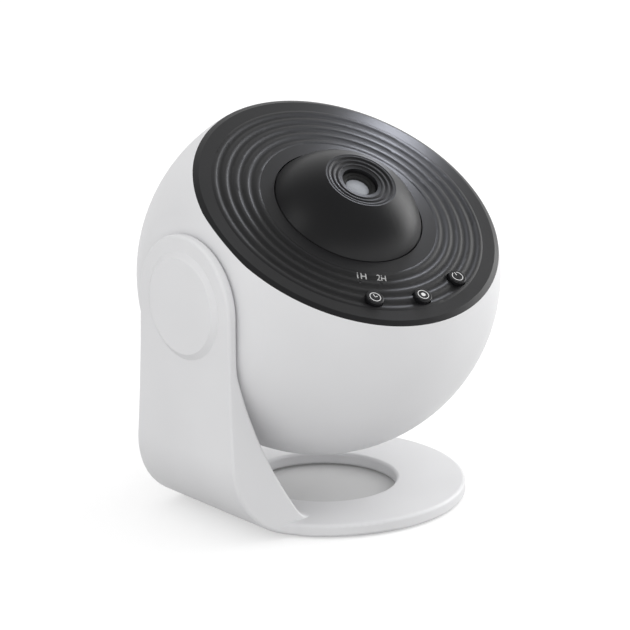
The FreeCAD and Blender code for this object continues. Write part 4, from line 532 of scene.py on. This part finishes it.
def keepPiece(name, shape, material, body, place=toHead):
    # turns a shape, drawn on the head's own axes unless place says otherwise, into a piece
    bmesh.ops.recalc_face_normals(shape, faces=shape.faces)
    mesh = bpy.data.meshes.new(name)
    shape.to_mesh(mesh)
    shape.free()
    mesh.transform(place)
    mesh.materials.append(material)
    piece = bpy.data.objects.new(name, mesh)
    scene.collection.objects.link(piece)
    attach(piece, body)
    return piece


# lengths in metres, angles in degrees; hands, powerStroke and dot are shares of the ring's
# radius, strokeRound and shortHandStart are shares of the line
icons = {"orbit": 47.9 * mm, "level": 34.7 * mm, "spread": 24.3, "ring": 2.05 * mm,
         "line": 0.27 * mm, "sink": 0.04 * mm, "rise": 0.05 * mm, "ringSteps": 40,
         "dotSegments": 28, "strokeRound": 0.45, "roundSegments": 3,
         "powerStart": 112.0, "powerSweep": 316.0, "powerStroke": (0.3, 0.95),
         "longHand": 0.62, "shortHand": 0.5, "shortHandStart": 0.2, "dot": 0.42}


def addRing(shape, start=0.0, sweep=360.0):
    # a flat ring, or part of one, swept from a small rectangle
    inner = icons["ring"] - icons["line"] / 2
    outer = icons["ring"] + icons["line"] / 2
    low, high = -icons["sink"], icons["rise"]
    turn = Matrix.Rotation(math.radians(start), 3, "Z")
    section = shape.faces.new([shape.verts.new(turn @ Vector((radius, 0, level))) for radius, level
                               in ((inner, low), (outer, low), (outer, high), (inner, high))])
    whole = sweep >= 360
    if whole:
        geometry = [*section.verts, *section.edges]
        shape.faces.remove(section)
    else:
        geometry = [section, *section.verts, *section.edges]
    bmesh.ops.spin(shape, geom=geometry, axis=(0, 0, 1), cent=(0, 0, 0),
                   angle=math.radians(sweep), steps=icons["ringSteps"], use_merge=whole)


def addStroke(shape, start, end):
    # a straight stroke with rounded ends between two points
    width = icons["line"]
    thickness = icons["sink"] + icons["rise"]
    start, end = Vector(start), Vector(end)
    along = end - start
    made = bmesh.ops.create_cube(shape, size=1.0)
    size = Matrix.Diagonal((along.length + width, width, thickness, 1))
    turn = Matrix.Rotation(math.atan2(along.y, along.x), 4, "Z")
    middle = (start + end) / 2
    place = Matrix.Translation((middle.x, middle.y, (icons["rise"] - icons["sink"]) / 2))
    bmesh.ops.transform(shape, matrix=place @ turn @ size, verts=made["verts"])
    corners = [edge for edge in shape.edges if edge.verts[0] in made["verts"]
               and abs(edge.verts[0].co.z - edge.verts[1].co.z) > thickness / 2]
    bmesh.ops.bevel(shape, geom=corners, offset=width * icons["strokeRound"], affect="EDGES",
                    segments=icons["roundSegments"], profile=0.5, material=-1)


def addDot(shape, radius):
    made = bmesh.ops.create_cone(shape, cap_ends=True, segments=icons["dotSegments"],
                                 radius1=radius, radius2=radius,
                                 depth=icons["sink"] + icons["rise"])
    bmesh.ops.translate(shape, verts=made["verts"],
                        vec=(0, 0, (icons["rise"] - icons["sink"]) / 2))


def addIcons():
    # clock, dot and power signs on the three keys
    ring, line = icons["ring"], icons["line"]
    angles = {"timer": -icons["spread"], "mode": 0.0, "power": icons["spread"]}
    for key, angle in angles.items():
        shape = bmesh.new()
        if key == "timer":
            addRing(shape)
            addStroke(shape, (0, 0), (0, ring * icons["longHand"]))
            # the short hand starts beside the long one's corners, so that none of theirs meet
            addStroke(shape, (line * icons["shortHandStart"], 0), (ring * icons["shortHand"], 0))
        elif key == "mode":
            addRing(shape)
            addDot(shape, ring * icons["dot"])
        else:
            addRing(shape, start=icons["powerStart"], sweep=icons["powerSweep"])
            low, high = icons["powerStroke"]
            addStroke(shape, (0, ring * low), (0, ring * high))
        side = math.radians(angle)
        bmesh.ops.translate(shape, verts=shape.verts,
                            vec=(icons["orbit"] * math.sin(side), -icons["orbit"] * math.cos(side),
                                 icons["level"]))
        keepPiece(key + "_icon", shape, legendInk, key + "_key")


# lengths in metres, turn in degrees; places are from the beam, across the panel and up it
hourMarks = {"height": 2.5 * mm, "width": 3.7 * mm, "turn": -24.3, "thickness": 0.035 * mm,
             "bold": 0.035 * mm, "sink": 0.015 * mm, "weld": 0.001 * mm, "longestEdge": 0.5 * mm,
             "cuts": 2, "above": 60.0 * mm,
             "places": {"one_hour_mark": ("1H", -17.1 * mm, -32.1 * mm),
                        "two_hour_mark": ("2H", -10.0 * mm, -35.1 * mm)}}


def addHourMarks():
    # printed marks that follow the panel's surface
    panel = nodes["top_panel"].data
    fromHead = toHead.inverted()
    surface = BVHTree.FromPolygons([fromHead @ vertex.co for vertex in panel.vertices],
                                   [polygon.vertices for polygon in panel.polygons])
    for name, (letters, sideways, upwards) in hourMarks["places"].items():
        text = bpy.data.curves.new(name, "FONT")
        text.body = letters
        text.size = hourMarks["height"]
        text.offset = hourMarks["bold"]
        holder = bpy.data.objects.new(name + "_text", text)
        scene.collection.objects.link(holder)
        bpy.context.view_layer.update()
        drawn = holder.evaluated_get(bpy.context.evaluated_depsgraph_get())
        flat = bpy.data.meshes.new_from_object(drawn)
        bpy.data.objects.remove(holder)
        shape = bmesh.new()
        shape.from_mesh(flat)
        bpy.data.meshes.remove(flat)
        bmesh.ops.remove_doubles(shape, verts=shape.verts, dist=hourMarks["weld"])
        raised = bmesh.ops.extrude_face_region(shape, geom=shape.faces[:])
        for part in raised["geom"]:
            if isinstance(part, bmesh.types.BMVert):
                part.co.z += hourMarks["thickness"]
        # the letters' own box, brought to the mark's size about its middle
        left, low = (min(vertex.co[axis] for vertex in shape.verts) for axis in range(2))
        right, high = (max(vertex.co[axis] for vertex in shape.verts) for axis in range(2))
        bmesh.ops.translate(shape, verts=shape.verts,
                            vec=(-(left + right) / 2, -(low + high) / 2, 0))
        bmesh.ops.scale(shape, verts=shape.verts, vec=(hourMarks["width"] / (right - left),
                                                       hourMarks["height"] / (high - low), 1))
        bmesh.ops.rotate(shape, verts=shape.verts, cent=(0, 0, 0),
                         matrix=Matrix.Rotation(math.radians(hourMarks["turn"]), 3, "Z"))
        bmesh.ops.triangulate(shape, faces=shape.faces)
        long = [edge for edge in shape.edges if edge.calc_length() > hourMarks["longestEdge"]]
        bmesh.ops.subdivide_edges(shape, edges=long, cuts=hourMarks["cuts"])
        bmesh.ops.triangulate(shape, faces=shape.faces)
        for vertex in shape.verts:
            spot = Vector((vertex.co.x + sideways, vertex.co.y + upwards, hourMarks["above"]))
            hit = surface.ray_cast(spot, Vector((0, 0, -1)))[0]
            vertex.co = Vector((spot.x, spot.y, hit.z + vertex.co.z - hourMarks["sink"]))
        keepPiece(name, shape, markInk, "head")


powerSocket = {"wall": 0.3 * mm, "backWall": 1.0 * mm, "segments": 32, "tongueWidth": 6.7 * mm,
               "tongueHeight": 0.7 * mm, "tongueLength": 5.0 * mm, "tongueRound": 0.12 * mm,
               "roundSegments": 2}


def addPowerSocket():
    # a folded metal sleeve with a closed back, and the contact tongue that stands in it
    low, high = (Vector(corner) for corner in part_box("usb_socket"))
    middle = (low + high) / 2
    length = high.y - low.y
    endRound = (high.z - low.z) / 2
    stretch = (high.x - low.x) / 2 - endRound
    # its mouth faces backwards, along +Y
    place = Matrix(((-1, 0, 0, middle.x), (0, 0, 1, low.y), (0, 1, 0, middle.z), (0, 0, 0, 1)))
    shape = bmesh.new()
    # turned by half a step, so that no corner lies midway between the rounded ends
    halfStep = Matrix.Rotation(math.pi / powerSocket["segments"], 4, "Z")
    made = bmesh.ops.create_circle(shape, cap_ends=True, segments=powerSocket["segments"],
                                   radius=endRound, matrix=halfStep)
    for vertex in made["verts"]:
        vertex.co.x += math.copysign(stretch, vertex.co.x)
    raised = bmesh.ops.extrude_face_region(shape, geom=shape.faces[:])
    rim = [part for part in raised["geom"] if isinstance(part, bmesh.types.BMVert)]
    bmesh.ops.translate(shape, verts=rim, vec=(0, 0, length))
    bmesh.ops.recalc_face_normals(shape, faces=shape.faces)
    mouth = max(shape.faces, key=lambda face: face.calc_center_median().z)
    bmesh.ops.inset_region(shape, faces=[mouth], thickness=powerSocket["wall"],
                           use_even_offset=True)
    sunk = bmesh.ops.extrude_face_region(shape, geom=[mouth])
    shape.faces.remove(mouth)  # the extrusion leaves it across the opening
    floor = [part for part in sunk["geom"] if isinstance(part, bmesh.types.BMVert)]
    bmesh.ops.translate(shape, verts=floor, vec=(0, 0, powerSocket["backWall"] - length))
    sleeve = keepPiece("socket_sleeve", shape, finishes["steel"], "head", place)
    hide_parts("usb_socket")
    shape = bmesh.new()
    bmesh.ops.create_cube(shape, size=1.0)
    size = (powerSocket["tongueWidth"], powerSocket["tongueHeight"], powerSocket["tongueLength"])
    bmesh.ops.scale(shape, verts=shape.verts, vec=size)
    bmesh.ops.bevel(shape, geom=shape.edges[:], offset=powerSocket["tongueRound"], affect="EDGES",
                    segments=powerSocket["roundSegments"], profile=0.5, material=-1)
    bmesh.ops.translate(shape, verts=shape.verts,
                        vec=(0, 0, powerSocket["backWall"] + powerSocket["tongueLength"] / 2))
    keepPiece("socket_tongue", shape, finishes["board_parts"], "head", place)


addCamera()
addWorld()
addFloor()
addLights()
print("camera, floor and lights are in")
dressNodes()
print("nodes have their finishes")
addIcons()
addHourMarks()
print("icons and hour marks are on")
addPowerSocket()
print("power socket is in")

scene.view_settings.view_transform = "Standard"
